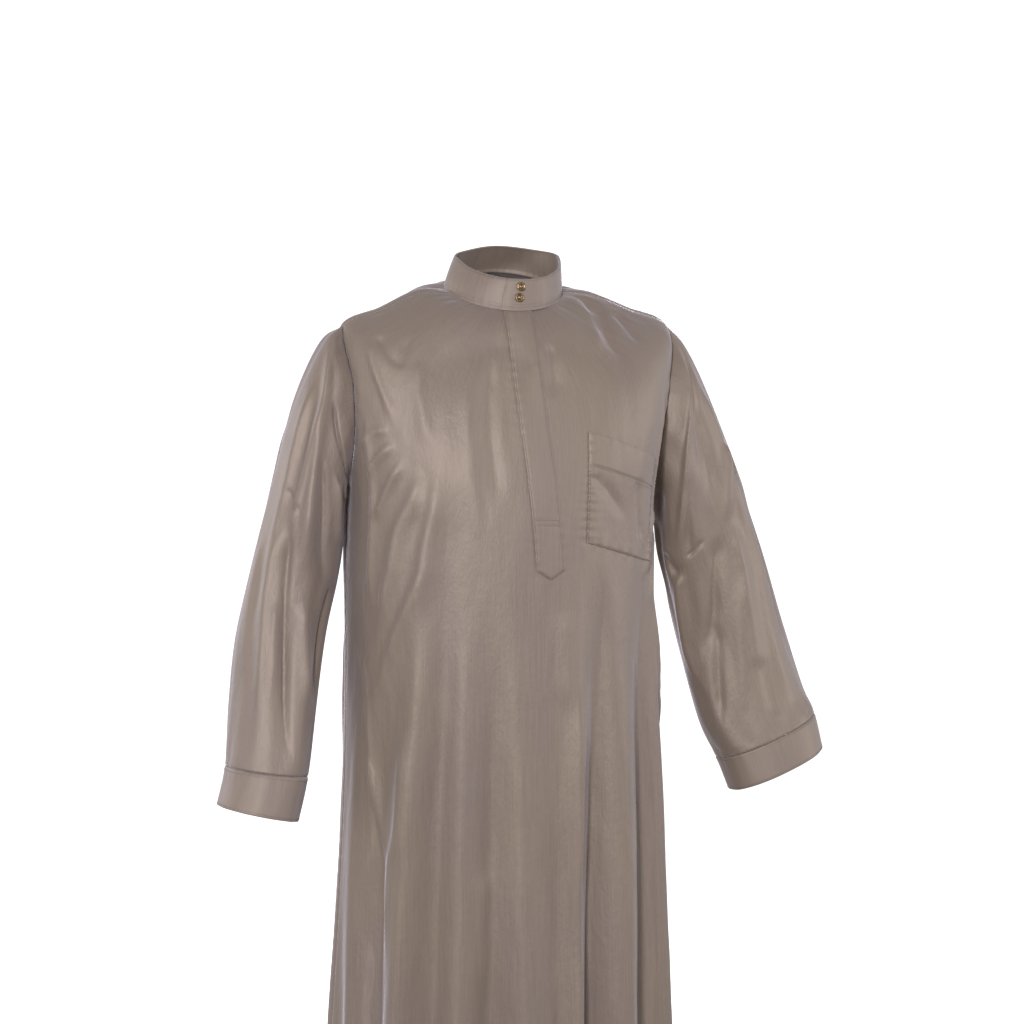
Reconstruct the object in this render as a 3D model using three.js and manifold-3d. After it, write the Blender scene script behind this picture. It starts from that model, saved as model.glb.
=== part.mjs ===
// A thobe: an ankle-length robe of thin satin, filled out as when it is worn, with no wearer inside.
// Millimetres, +Z up. The front faces -Y and the wearer's left is +X. The origin is at the base of the neck,
// on the level of the two points where the collar crosses the tops of the shoulders.
//
// The body is one hollow form, cut into a front and a back. A place on it is an angle round the body
// (0 at the middle of the front, 90 at the wearer's left side, 180 at the middle of the back) and a level
// that counts down the rows of bodyLevels. Each sleeve is lofted from its armhole through sleeve sections.
import * as THREE from "three";
import Module from "manifold-3d";
import { mergeVertices } from "three/addons/utils/BufferGeometryUtils.js";

const wasm = await Module();
wasm.setup();

// ---- Driving sizes -------------------------------------------------------------------------------------
const cloth = 1.2; // wall of a single layer
const doubleCloth = 2.2; // wall of a turned and pressed band
const seamGap = 0.5; // clear space between two pieces that are sewn together
const layerGap = 0.5; // clear space between a patch and the panel it lies on

const collarHeight = { front: 36, side: 40, back: 30 };
const collarOverlap = 22; // the tab runs this far past the middle of the front
const collarGap = 1; // its lower edge is this far above the neck seam
const collarEase = 1.4; // the collar's outer face stands this far outside the neck seam
const collarLean = { front: 2, side: 8, back: 14, left: 5 }; // how far its top leans in, and to the left
const placketWidth = 35;
const placketTopZ = -39.5; // just under the collar
const placketBarZ = -287; // the two rows of stitching that close the opening
const placketTipZ = -356;
const pocketNearX = 69; // the edge by the placket
const pocketFarX = 166; // the edge by the armhole
const pocketNearTopZ = -183;
const pocketFarTopZ = -212;
const pocketHeight = 130;
const snapRadius = 5.5;
const snapAngle = -2.7; // round the neck from the middle of the front

const shoulderLevel = 3; // where the shoulder seam ends and the armhole begins
const underarmLevel = 6; // where the armhole ends and the side seam begins
const shoulderSeam = { neck: 78, point: 87 }; // the angles of its ends, a little forward of the ridge
const sideSeamAngle = 90;

// ---- Tables --------------------------------------------------------------------------------------------
function table(columns, ...rows) {
  const names = columns.split(" ");
  return rows.map((row) => Object.fromEntries(names.map((name, k) => [name, row[k]])));
}

const bodyLevels = table(
  "halfWidth frontDepth backDepth frontZ sideZ backZ bow squareness centreX tilt",
  [71, 71, 58, -38, -7, 20, 1.2, 2.0, 0, 3], // neck seam
  [108, 86, 79, -62, -8, 7, 1.3, 1.95, 1, 2],
  [156, 101, 97, -100, -28, -34, 1.35, 2.0, 3, 4],
  [204, 114, 110, -148, -49, -88, 1.35, 2.1, 4, 5], // shoulder point
  [206, 124, 116, -194, -107, -148, 1.45, 2.25, 2, 4],
  [199, 131, 118, -238, -175, -204, 1.6, 2.3, -2, 2],
  [190, 135, 118, -284, -250, -262, 1.6, 2.28, -4, 0], // underarm
  [190, 137, 118, -345, -340, -340, 1.6, 2.25, -5, 0],
  [191, 139, 121, -480, -480, -480, 1.6, 2.2, -4, 0],
  [194, 144, 128, -670, -670, -670, 1.6, 2.2, -3, 0],
  [197, 150, 137, -870, -870, -870, 1.6, 2.2, -3, 0],
  [206, 160, 150, -1120, -1120, -1120, 1.6, 2.15, -3, 0],
  [217, 171, 165, -1395, -1395, -1395, 1.6, 2.1, -2, 0], // hem
);
const hemLevel = bodyLevels.length - 1;

// Angles of the two edges of an armhole, for every half level from the shoulder point to the underarm.
const armholeEdges = table(
  "front back",
  [87, 87],
  [78, 99],
  [73, 104.5],
  [72.5, 107],
  [74, 106],
  [79, 100],
  [90, 90],
);

// The long soft folds that hang from the chest, the shoulder blades and the hips.
// A fold starts at topZ, has its full height at fullZ and runs on to the hem.
const bodyFolds = table(
  "angleTop angleHem topZ fullZ height width",
  [-38, -52, -240, -560, 7, 20],
  [-29, -36, -260, -640, -5, 18],
  [-23, -27, -260, -620, 6, 22],
  [-13, -15, -330, -700, -7, 24],
  [-6, -3, -300, -640, 6, 18],
  [5, 6, -420, -820, -4, 24],
  [15, 12, -300, -600, 7, 12],
  [23, 18, -330, -650, -9, 13],
  [34, 31, -330, -640, 7, 26],
  [50, 46, -330, -640, -8, 16],
  [62, 60, -300, -700, 7, 18],
  [70, 69, -330, -800, -8, 11],
  [-60, -62, -420, -800, -6, 20],
  [-76, -74, -420, -900, 7, 22],
  [-95, -92, -520, -1000, 9, 26],
  [92, 90, -520, -1000, 8, 22],
  [-114, -112, -330, -900, -10, 26],
  [113, 112, -330, -900, -10, 26],
  [-135, -132, -300, -820, 10, 30],
  [134, 132, -300, -820, 10, 30],
  [-156, -152, -360, -860, -9, 28],
  [155, 151, -360, -860, -9, 28],
  [-172, -170, -420, -900, 8, 26],
  [176, 174, -420, -900, 7, 26],
);
const hemFlare = 2.1; // a fold is this many times as high at the hem as at fullZ

// Sections of the sleeves, from below the armhole to the hem. Each is an oval with its outer and inner
// edge at these places, centred at y and as deep as depth on each side. They are written for +X.
const sleeveSections = {
  right: table(
    "outerX outerZ innerX innerZ y depth",
    [224, -74, 198, -259, 0, 50],
    [256, -146, 200, -280, 2, 55],
    [283, -248, 201, -318, 5, 58],
    [308, -346, 206, -360, 6, 58],
    [325, -422, 220, -420, 0, 58],
    [335, -500, 234, -502, -14, 57],
    [344, -571, 250, -584, -33, 55],
    [356, -615, 264, -635, -44, 54],
  ),
  left: table(
    "outerX outerZ innerX innerZ y depth",
    [234, -74, 196, -259, 0, 50],
    [268, -144, 198, -282, 2, 54],
    [303, -230, 203, -330, 4, 54],
    [339, -331, 214, -375, 4, 53],
    [365, -421, 231, -450, 0, 52],
    [382, -493, 251, -536, -14, 50],
    [394, -526, 270, -580, -25, 48],
    [401, -568, 283, -619, -35, 46],
  ),
};
const sleeveSquareness = 2.15;
const cuffSection = 7; // the sleeve ends and its cuff begins at this section
const wristSection = 8;
const sleeveFolds = table(
  "angleTop angleHem from to height width",
  [40, 60, 1.2, 5, 6, 16],
  [78, 84, 2.2, 6.6, -7, 12],
  [115, 118, 1.6, 6, 6, 18],
  [205, 210, 2, 6.2, -6, 18],
  [300, 268, 0.8, 5.5, 5, 16],
);

// ---- Small tools ---------------------------------------------------------------------------------------
const radians = THREE.MathUtils.degToRad;
const clamp = THREE.MathUtils.clamp;
const smooth = (v, low, high) => THREE.MathUtils.smoothstep(v, low, high);
const signedPower = (v, e) => Math.sign(v) * Math.abs(v) ** e;

// Every column of a table at a place between its rows, on a smooth curve through them.
function between(rows, place) {
  const last = rows.length - 1;
  const k = clamp(Math.floor(place), 0, last - 1);
  const t = place - k;
  const value = (row, name) => {
    if (row < 0) return 2 * rows[0][name] - rows[1][name];
    if (row > last) return 2 * rows[last][name] - rows[last - 1][name];
    return rows[row][name];
  };
  const at = {};
  for (const name of Object.keys(rows[0])) {
    const [a, b, c, d] = [k - 1, k, k + 1, k + 2].map((row) => value(row, name));
    at[name] = b + 0.5 * t * (c - a + t * (2 * a - 5 * b + 4 * c - d + t * (3 * (b - c) + d - a)));
  }
  return at;
}

// A surface's point and outward normal, from a function of two parameters.
function withNormal(surface, a, b, stepA, stepB, lift) {
  const alongA = surface(a + stepA, b).sub(surface(a - stepA, b));
  const alongB = surface(a, b + stepB).sub(surface(a, b - stepB));
  const normal = alongB.cross(alongA).normalize();
  return { point: surface(a, b).addScaledVector(normal, lift(a, b)), normal };
}

// A wall over a grid of points. The points are on its outer face, and the wall grows inwards from them.
// A looped grid is a tube: its last column joins the first.
function wall(points, thickness, looped = false) {
  const rows = points.length;
  const columns = points[0].length;
  const position = [];
  for (const inset of [0, thickness])
    for (const { point, normal } of points.flat())
      position.push(...point.clone().addScaledVector(normal, -inset).toArray());
  const inner = rows * columns;
  const index = [];
  const quad = (a, b, c, d) => index.push(a, b, c, a, c, d);
  const spans = looped ? columns : columns - 1;
  for (let r = 0; r < rows - 1; r++)
    for (let c = 0; c < spans; c++) {
      const [p, q] = [r * columns + c, r * columns + ((c + 1) % columns)];
      const [s, t] = [p + columns, q + columns];
      quad(p, s, t, q);
      quad(inner + p, inner + q, inner + t, inner + s);
    }
  for (let c = 0; c < spans; c++) {
    const [p, q] = [c, (c + 1) % columns];
    const [s, t] = [p + inner - columns, q + inner - columns];
    quad(p, q, inner + q, inner + p);
    quad(s, inner + s, inner + t, t);
  }
  if (!looped)
    for (let r = 0; r < rows - 1; r++) {
      const [p, s] = [r * columns, (r + 1) * columns];
      const [q, t] = [p + columns - 1, s + columns - 1];
      quad(p, inner + p, inner + s, s);
      quad(q, t, inner + t, inner + q);
    }
  return new THREE.BufferGeometry()
    .setAttribute("position", new THREE.Float32BufferAttribute(position, 3))
    .setIndex(index);
}

// A grid of values of a function of (row share, column share), each from 0 to 1.
function grid(rows, columns, value) {
  return Array.from({ length: rows + 1 }, (_, r) =>
    Array.from({ length: columns }, (_, c) => value(r / rows, c / (columns - 1))),
  );
}

function solidOf(geometry) {
  const bare = mergeVertices(geometry.clone().deleteAttribute("normal").deleteAttribute("uv"), 1e-4);
  return new wasm.Manifold(
    new wasm.Mesh({
      numProp: 3,
      vertProperties: bare.attributes.position.array,
      triVerts: new Uint32Array(bare.index.array),
    }),
  );
}

function geometryOf(solid) {
  const mesh = solid.getMesh();
  return new THREE.BufferGeometry()
    .setAttribute("position", new THREE.BufferAttribute(mesh.vertProperties, 3))
    .setIndex(new THREE.BufferAttribute(mesh.triVerts, 1));
}

// A right prism through the front of the robe: an outline drawn in x and z, from y = 0 forwards.
function prism(outline) {
  const shape = new THREE.Shape(outline.map(([x, z]) => new THREE.Vector2(x, z)));
  return solidOf(new THREE.ExtrudeGeometry(shape, { depth: 260, bevelEnabled: false }).rotateX(Math.PI / 2));
}

// ---- The body form -------------------------------------------------------------------------------------
function bodyForm(angle, level) {
  const s = between(bodyLevels, level);
  const turn = radians(angle);
  const [side, ahead] = [Math.sin(turn), Math.cos(turn)];
  const [depth, endZ] = ahead > 0 ? [s.frontDepth, s.frontZ] : [s.backDepth, s.backZ];
  return new THREE.Vector3(
    s.centreX + s.halfWidth * signedPower(side, 2 / s.squareness),
    -depth * signedPower(ahead, 2 / s.squareness),
    s.sideZ + (endZ - s.sideZ) * Math.abs(ahead) ** s.bow + s.tilt * side,
  );
}

// How far the folds push the cloth out of the body form.
function bodyFoldHeight(angle, level) {
  const { z } = bodyForm(angle, level);
  const s = between(bodyLevels, level);
  const radius = (s.halfWidth + (Math.abs(angle) < 90 ? s.frontDepth : s.backDepth)) / 2;
  const hemZ = bodyLevels[hemLevel].sideZ;
  let height = 0;
  for (const fold of bodyFolds) {
    const share = clamp((z - fold.topZ) / (hemZ - fold.topZ), 0, 1);
    const middle = fold.angleTop + (fold.angleHem - fold.angleTop) * smooth(share, 0, 0.7);
    const away = THREE.MathUtils.euclideanModulo(angle - middle + 180, 360) - 180;
    const grown = smooth(fold.topZ - z, 0, fold.topZ - fold.fullZ);
    const flared = 1 + (hemFlare - 1) * clamp((fold.fullZ - z) / (fold.fullZ - hemZ), 0, 1);
    const across = (radians(away) * radius) / fold.width;
    height += fold.height * grown * flared * Math.exp(-across * across);
  }
  return height;
}

const onBody = (angle, level, lift = 0) =>
  withNormal(bodyForm, angle, level, 0.5, 0.02, (a, l) => bodyFoldHeight(a, l) + lift);

function armholeAngle(edge, level) {
  if (level <= shoulderLevel)
    return shoulderSeam.neck + ((shoulderSeam.point - shoulderSeam.neck) * level) / shoulderLevel;
  if (level >= underarmLevel) return sideSeamAngle;
  return between(armholeEdges, 2 * (level - shoulderLevel))[edge];
}

// ---- Sleeves -------------------------------------------------------------------------------------------
// A place on a sleeve is an angle (0 on its outer edge, 90 on its back, 180 under the arm, 270 on its
// front) and a section that counts down from 0 at the armhole. side is 1 on the wearer's left, -1 on the
// right.
const armholeSteps = 9; // spans along each of the two edges of an armhole
const armholeLevel = (angle) =>
  shoulderLevel + ((underarmLevel - shoulderLevel) * (1 - Math.cos(radians(angle)))) / 2;

function armholePlace(side, angle) {
  const edge = angle > 180 ? "front" : "back";
  const level = armholeLevel(angle);
  return onBody(side * armholeAngle(edge, level), level);
}

function sleeveRing(side, section, angle) {
  const s = section;
  const across = signedPower(Math.cos(radians(angle)), 2 / sleeveSquareness);
  const behind = signedPower(Math.sin(radians(angle)), 2 / sleeveSquareness);
  return new THREE.Vector3(
    side * ((s.outerX + s.innerX) / 2 + ((s.outerX - s.innerX) / 2) * across),
    s.y + s.depth * behind,
    (s.outerZ + s.innerZ) / 2 + ((s.outerZ - s.innerZ) / 2) * across,
  );
}

function sleeveForm(side) {
  const sections = side > 0 ? sleeveSections.left : sleeveSections.right;
  return (angle, place) => {
    const turn = THREE.MathUtils.euclideanModulo(angle, 360);
    const rings = [armholePlace(side, turn).point, ...sections.map((s) => sleeveRing(side, s, turn))];
    const { x, y, z } = between(rings.map(({ x, y, z }) => ({ x, y, z })), place);
    return new THREE.Vector3(x, y, z);
  };
}

function sleeveFoldHeight(angle, place) {
  let height = 0;
  for (const fold of sleeveFolds) {
    const share = clamp((place - fold.from) / (fold.to - fold.from), 0, 1);
    const middle = fold.angleTop + (fold.angleHem - fold.angleTop) * share;
    const away = THREE.MathUtils.euclideanModulo(angle - middle + 180, 360) - 180;
    const grown = smooth(place, fold.from, fold.from + 1.2) * (1 - smooth(place, fold.to, fold.to + 1));
    const across = (radians(away) * 55) / fold.width;
    height += fold.height * grown * Math.exp(-across * across);
  }
  return height;
}

const onSleeve = (side, angle, place) =>
  withNormal(sleeveForm(side), angle, place, side, 0.02, sleeveFoldHeight);

// Where a sleeve meets the body, both walls run inwards along the line that halves the bend between them.
function armholeInward(side, angle) {
  const sleeve = onSleeve(side, angle, 0.1).normal;
  const half = armholePlace(side, angle).normal.add(sleeve).multiplyScalar(0.5);
  const stretch = 1 / Math.max(half.length(), 0.6);
  return half.normalize().multiplyScalar(stretch);
}

function sleeveTube(side, first, last, rows, thickness) {
  const columns = 2 * armholeSteps;
  const points = Array.from({ length: rows + 1 }, (_, r) => {
    const place = first + ((last - first) * r) / rows;
    return Array.from({ length: columns }, (_, c) => {
      const angle = (side * 360 * c) / columns;
      const turn = THREE.MathUtils.euclideanModulo(angle, 360);
      const at = onSleeve(side, turn, place);
      return place < 0.1 ? { point: at.point, normal: armholeInward(side, turn) } : at;
    });
  });
  return wall(points, thickness, true);
}

// ---- Front and back ------------------------------------------------------------------------------------
const rowLevels = [0.02, 0.5, 1, 1.5, 2, 2.5];
for (let k = 0; k <= armholeSteps; k++) rowLevels.push(armholeLevel((180 * k) / armholeSteps));
for (let level = 6.5; level < hemLevel; level += 0.5) rowLevels.push(level);
rowLevels.push(hemLevel);

function panelPoints(edge, columns) {
  const middle = edge === "front" ? 0 : 180;
  return rowLevels.map((level) => {
    const trim = THREE.MathUtils.radToDeg(seamGap / 2 / between(bodyLevels, level).halfWidth);
    const reach = Math.abs(middle - armholeAngle(edge, level)) - trim;
    const points = grid(0, columns, (_, across) => onBody(middle + reach * (2 * across - 1), level))[0];
    if (level >= shoulderLevel && level <= underarmLevel)
      for (const at of [points[0], points[columns - 1]]) {
        const turn = (180 * (rowLevels.indexOf(level) - rowLevels.indexOf(shoulderLevel))) / armholeSteps;
        at.normal = armholeInward(Math.sign(at.point.x), edge === "front" ? 360 - turn : turn);
      }
    return points;
  });
}

const frontPoints = panelPoints("front", 23);
const backPoints = panelPoints("back", 21);

// The same points moved off the cloth along its normals, outwards where lift is above 0.
const moved = (points, lift) =>
  points.map((row) =>
    row.map(({ point, normal }) => ({ point: point.clone().addScaledVector(normal, lift), normal })),
  );

// The line down the middle of the opening, which leans a little to the wearer's left.
const openingX = (z) => -3 + 22 * smooth(-z, 60, 420);

// An outline round that line, halfWidth to each side of it.
function openingOutline(halfWidth, topZ, bottomZ) {
  const steps = 8;
  const edge = (side) =>
    Array.from({ length: steps + 1 }, (_, k) => {
      const z = topZ + ((bottomZ - topZ) * k) / steps;
      return [openingX(z) + side * halfWidth, z];
    });
  return [...edge(-1), ...edge(1).reverse()];
}

function frontPanel() {
  const slit = prism(openingOutline(0.8, 10, placketBarZ));
  return geometryOf(solidOf(wall(frontPoints, cloth)).subtract(slit));
}

// ---- Collar --------------------------------------------------------------------------------------------
// One strip that starts at the edge of the tab, goes once round the neck and ends under the tab.
// A place on it is an angle, as on the body, and its rise: 0 at the neck seam and 1 at the top.
const tabAngle = THREE.MathUtils.radToDeg(Math.asin(collarOverlap / bodyLevels[0].halfWidth));

function collarForm(angle, rise) {
  const neck = bodyForm(angle, 0);
  const ahead = Math.cos(radians(angle));
  const lift = collarEase + (doubleCloth + layerGap) * (1 - smooth(angle, tabAngle + 2, tabAngle + 24));
  const lean = rise * (0.6 + 0.4 * rise);
  const [endHeight, fullAt] = ahead > 0 ? [collarHeight.front, 0.6] : [collarHeight.back, 1];
  const share = smooth(Math.abs(ahead), 0, fullAt);
  const height = collarHeight.side + (endHeight - collarHeight.side) * share;
  const endLean = ahead > 0 ? collarLean.front : collarLean.back;
  return new THREE.Vector3(
    neck.x + (lift - collarLean.side * lean) * Math.sin(radians(angle)) + collarLean.left * lean,
    neck.y - (lift - endLean * lean) * ahead,
    neck.z + collarGap + height * rise,
  );
}

const onCollar = (angle, rise) => withNormal(collarForm, angle, rise, 0.5, -0.02, () => 0);

function collar() {
  const points = grid(3, 46, (down, across) =>
    onCollar(-tabAngle + (360 + 2 * tabAngle) * across, 1 - down),
  );
  return wall(points, doubleCloth);
}

// ---- What lies on the front ----------------------------------------------------------------------------
// A patch is the front's own points moved off it, cut to an outline in x and z.
function patch(outline) {
  const layer = solidOf(wall(moved(frontPoints, cloth + layerGap), cloth));
  return geometryOf(layer.intersect(prism(outline)));
}

function placket() {
  const tipRise = 11; // the tab narrows to its point over this height
  const outline = openingOutline(placketWidth / 2, placketTopZ, placketTipZ + tipRise);
  const middle = outline.length / 2;
  return patch([
    ...outline.slice(0, middle),
    [openingX(placketTipZ), placketTipZ],
    ...outline.slice(middle),
  ]);
}

const chestPocket = () =>
  patch([
    [pocketNearX, pocketNearTopZ],
    [pocketFarX, pocketFarTopZ],
    [pocketFarX - 12, pocketFarTopZ - pocketHeight + 6],
    [pocketNearX - 6, pocketNearTopZ - pocketHeight],
  ]);

// A pocket bag behind the front, from the side seam forward, between two rows of the front's points.
function sidePocket(side) {
  const columns = 4;
  const rows = frontPoints.slice(rowLevels.indexOf(7.5), rowLevels.indexOf(9.5) + 1);
  const points = rows.map((row) => (side > 0 ? row.slice(-columns) : row.slice(0, columns)));
  return wall(moved(points, -cloth - layerGap), cloth);
}

// ---- Snaps ---------------------------------------------------------------------------------------------
// A sprung metal cap: a raised ring round a sunken middle with a small dome.
function snap() {
  const outline = table(
    "radius height",
    [0, 0],
    [snapRadius, 0],
    [snapRadius, 0.8],
    [5.0, 1.6],
    [4.2, 1.9],
    [3.4, 1.5],
    [2.7, 0.8],
    [2.1, 0.7],
    [1.6, 1.2],
    [0.8, 1.5],
    [0, 1.6],
  );
  return new THREE.LatheGeometry(outline.map((p) => new THREE.Vector2(p.radius, p.height)), 24);
}

// ---- The robe ------------------------------------------------------------------------------------------
const satin = new THREE.MeshStandardMaterial({ color: 0x9a8d85, roughness: 0.42, metalness: 0 });
const pressedSatin = new THREE.MeshStandardMaterial({ color: 0x958880, roughness: 0.48, metalness: 0 });
const agedBrass = new THREE.MeshStandardMaterial({ color: 0x7a5a3a, roughness: 0.35, metalness: 1 });

const robe = new THREE.Group();

function add(name, geometry, material) {
  const mesh = new THREE.Mesh(geometry, material);
  mesh.name = name;
  robe.add(mesh);
  return mesh;
}

add("front_panel", frontPanel(), satin);
add("back_panel", wall(backPoints, cloth), satin);
for (const [name, side] of [["right", -1], ["left", 1]]) {
  add(`sleeve_${name}`, sleeveTube(side, 0.02, cuffSection, 13, cloth), satin);
  add(`cuff_${name}`, sleeveTube(side, cuffSection + 0.01, wristSection, 2, doubleCloth), pressedSatin);
}
add("collar", collar(), pressedSatin);
add("placket", placket(), pressedSatin);
add("chest_pocket", chestPocket(), satin);
add("side_pocket_right", sidePocket(-1), satin);
add("side_pocket_left", sidePocket(1), satin);
for (const [name, rise] of [["snap_upper", 0.74], ["snap_lower", 0.38]]) {
  const mesh = add(name, snap(), agedBrass);
  const { point, normal } = onCollar(snapAngle, rise);
  mesh.position.copy(point).addScaledVector(normal, layerGap);
  mesh.quaternion.setFromUnitVectors(new THREE.Vector3(0, 1, 0), normal);
}

export default robe;
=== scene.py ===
# %% [markdown]
# # A thobe in satin
# This lesson dresses the plain model of a thobe, a long straight robe, in thin cloth. The plain model gives
# the true size and place of every piece. Each step below swaps one of its stiff walls for fine cloth.

# %% Load the plain model
import math

import bmesh
import bpy
import numpy as np
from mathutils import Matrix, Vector


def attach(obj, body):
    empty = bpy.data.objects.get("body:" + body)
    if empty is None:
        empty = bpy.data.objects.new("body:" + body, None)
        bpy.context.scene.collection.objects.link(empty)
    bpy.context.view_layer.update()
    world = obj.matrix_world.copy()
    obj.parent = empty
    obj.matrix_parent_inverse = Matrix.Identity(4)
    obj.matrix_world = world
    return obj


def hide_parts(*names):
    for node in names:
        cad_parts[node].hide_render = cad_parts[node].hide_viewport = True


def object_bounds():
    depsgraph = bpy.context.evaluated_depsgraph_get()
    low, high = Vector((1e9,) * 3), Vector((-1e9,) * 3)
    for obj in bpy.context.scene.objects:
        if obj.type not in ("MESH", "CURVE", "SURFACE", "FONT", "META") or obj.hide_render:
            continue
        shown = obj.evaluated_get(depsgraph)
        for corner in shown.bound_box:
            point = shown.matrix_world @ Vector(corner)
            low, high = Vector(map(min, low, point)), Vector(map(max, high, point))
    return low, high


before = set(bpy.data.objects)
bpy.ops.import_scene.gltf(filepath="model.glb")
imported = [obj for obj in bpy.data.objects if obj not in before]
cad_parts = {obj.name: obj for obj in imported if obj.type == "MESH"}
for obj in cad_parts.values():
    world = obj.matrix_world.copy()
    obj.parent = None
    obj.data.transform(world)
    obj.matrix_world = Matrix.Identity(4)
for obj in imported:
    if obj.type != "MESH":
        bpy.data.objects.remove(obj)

cad_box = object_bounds()
print("plain model, from", [round(c, 3) for c in cad_box[0]], "to", [round(c, 3) for c in cad_box[1]])

# %% [markdown]
# ## The hollow form of the robe
# A worn robe is a tube that hangs from the neck and shoulders. One way to model it is to push points about by
# hand. Here a short table of sections does it, because every piece can then be made from the same form and
# will meet its neighbours at the seams. Sizes are in millimetres until a mesh is made.
# A place on the body is an angle (0 in the middle of the front, 90 at the wearer's left side, 180 in the
# middle of the back) and a level, which counts down the rows of the table.

# %% Section table of the body
MM = 0.001
# half width, front depth, back depth, front z, side z, back z, bow, squareness, centre x, tilt
BODY_LEVELS = np.array([
    [71, 71, 58, -38, -7, 20, 1.2, 2.0, 0, 3],  # neck seam
    [108, 86, 79, -62, -8, 7, 1.3, 1.95, 1, 2],
    [156, 101, 97, -100, -28, -34, 1.35, 2.0, 3, 4],
    [204, 114, 110, -148, -49, -88, 1.35, 2.1, 4, 5],  # shoulder point
    [206, 124, 116, -194, -107, -148, 1.45, 2.25, 2, 4],
    [199, 131, 118, -238, -175, -204, 1.6, 2.3, -2, 2],
    [190, 135, 118, -284, -250, -262, 1.6, 2.28, -4, 0],  # underarm
    [190, 137, 118, -345, -340, -340, 1.6, 2.25, -5, 0],
    [191, 139, 121, -480, -480, -480, 1.6, 2.2, -4, 0],
    [194, 144, 128, -670, -670, -670, 1.6, 2.2, -3, 0],
    [197, 150, 137, -870, -870, -870, 1.6, 2.2, -3, 0],
    [206, 160, 150, -1120, -1120, -1120, 1.6, 2.15, -3, 0],
    [217, 171, 165, -1395, -1395, -1395, 1.6, 2.1, -2, 0],  # hem
])
SHOULDER_LEVEL, UNDERARM_LEVEL, HEM_LEVEL = 3, 6, len(BODY_LEVELS) - 1
# The front and back edges of an armhole, as angles, for every half level from the shoulder to the underarm.
ARMHOLE_EDGES = np.array([
    [87, 87], [78, 99], [73, 104.5], [72.5, 107], [74, 106], [79, 100], [90, 90],
])
SHOULDER_SEAM, SIDE_SEAM = (78, 87), 90  # the shoulder seam's angle at the neck and at the shoulder point


print(len(BODY_LEVELS), "sections from the neck seam to the hem")

# %% [markdown]
# ## Reading a table smoothly
# Thirteen sections are too few to draw a robe with straight lines between them. A Catmull-Rom curve passes
# through every row and bends gently in between, so the table can stay short and still give a soft shape.

# %% Reading between rows


def smooth(value, low, high):
    """0 below low, 1 above high, and an easy S between them."""
    share = np.clip((value - low) / (high - low), 0, 1)
    return share * share * (3 - 2 * share)


def signed_power(value, power):
    return np.sign(value) * np.abs(value) ** power


def between(rows, place):
    """Rows of a table, or a stack of rings, read at places between them on a smooth curve."""
    rows = np.asarray(rows, float)
    place = np.asarray(place, float)
    padded = np.concatenate([[2 * rows[0] - rows[1]], rows, [2 * rows[-1] - rows[-2]]])
    k = np.clip(np.floor(place).astype(int), 0, len(rows) - 2)
    t = (place - k)[..., None]
    if rows.ndim == 2:
        a, b, c, d = (padded[k + i] for i in range(4))
    else:
        a, b, c, d = (np.take_along_axis(padded, (k + i)[None, ..., None], 0)[0] for i in range(4))
    return b + 0.5 * t * (c - a + t * (2 * a - 5 * b + 4 * c - d + t * (3 * (b - c) + d - a)))


print("half a level below the neck seam the robe is", 2 * between(BODY_LEVELS, 0.5)[0].round(), "mm wide")

# %% [markdown]
# ## One section of the body
# A worn robe isn't quite round at the chest, and it's far from round at the shoulders. A superellipse is a
# circle whose squareness can be set: 2 gives an ellipse, and more makes it boxier. The bow lets the middle of
# the front and back lie lower than the sides, as the cloth does over the shoulders.

# %% Body form


def body_form(angle, level):
    half, front, back, front_z, side_z, back_z, bow, square, centre, tilt = np.moveaxis(
        between(BODY_LEVELS, level), -1, 0)
    side, ahead = np.sin(np.radians(angle)), np.cos(np.radians(angle))
    depth = np.where(ahead > 0, front, back)
    end_z = np.where(ahead > 0, front_z, back_z)
    return np.stack([
        centre + half * signed_power(side, 2 / square),
        -depth * signed_power(ahead, 2 / square),
        side_z + (end_z - side_z) * np.abs(ahead) ** bow + tilt * side,
    ], -1)


def normals_of(form, a, b, step_a=0.5, step_b=0.02):
    """Outward normals of a form, from how it changes along its two parameters."""
    along_a = form(a + step_a, b) - form(a - step_a, b)
    along_b = form(a, b + step_b) - form(a, b - step_b)
    normal = np.cross(along_b, along_a)
    return normal / np.linalg.norm(normal, axis=-1, keepdims=True)


print("middle of the front at the hem:", body_form(0, HEM_LEVEL).round(1), "mm")

# %% [markdown]
# ## Folds
# Satin this thin hangs in long folds, and it creases where an arm or a seam pulls it. Blender's cloth
# simulation could find folds, but not these folds. So each one is placed as a path over the cloth
# with a height and a width, and the soft ridges and troughs are added up.

# %% Long folds
# angle at the top, angle at the hem, top z, z of full height, height, width
LONG_FOLDS = [
    (-38, -52, -240, -560, 7, 20), (-29, -36, -260, -640, -5, 18), (-23, -27, -260, -620, 6, 22),
    (-13, -15, -330, -700, -7, 24), (-6, -3, -300, -640, 6, 18), (5, 6, -420, -820, -4, 24),
    (15, 12, -300, -600, 7, 12), (23, 18, -330, -650, -9, 13), (34, 31, -330, -640, 7, 26),
    (50, 46, -330, -640, -8, 16), (62, 60, -300, -700, 7, 18), (70, 69, -330, -800, -8, 11),
    (-60, -62, -420, -800, -6, 20), (-76, -74, -420, -900, 7, 22), (-95, -92, -520, -1000, 9, 26),
    (92, 90, -520, -1000, 8, 22), (-114, -112, -330, -900, -10, 26), (113, 112, -330, -900, -10, 26),
    (-135, -132, -300, -820, 10, 30), (134, 132, -300, -820, 10, 30), (-156, -152, -360, -860, -9, 28),
    (155, 151, -360, -860, -9, 28), (-172, -170, -420, -900, 8, 26), (176, 174, -420, -900, 7, 26),
]
HEM_FLARE = 2.1  # a fold is this many times as high at the hem as where it first has its full height
HEM_Z = BODY_LEVELS[-1][4]
FOLD_DEPTH = 1.95  # worn satin folds more sharply than the stiff wall of the plain model
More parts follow.
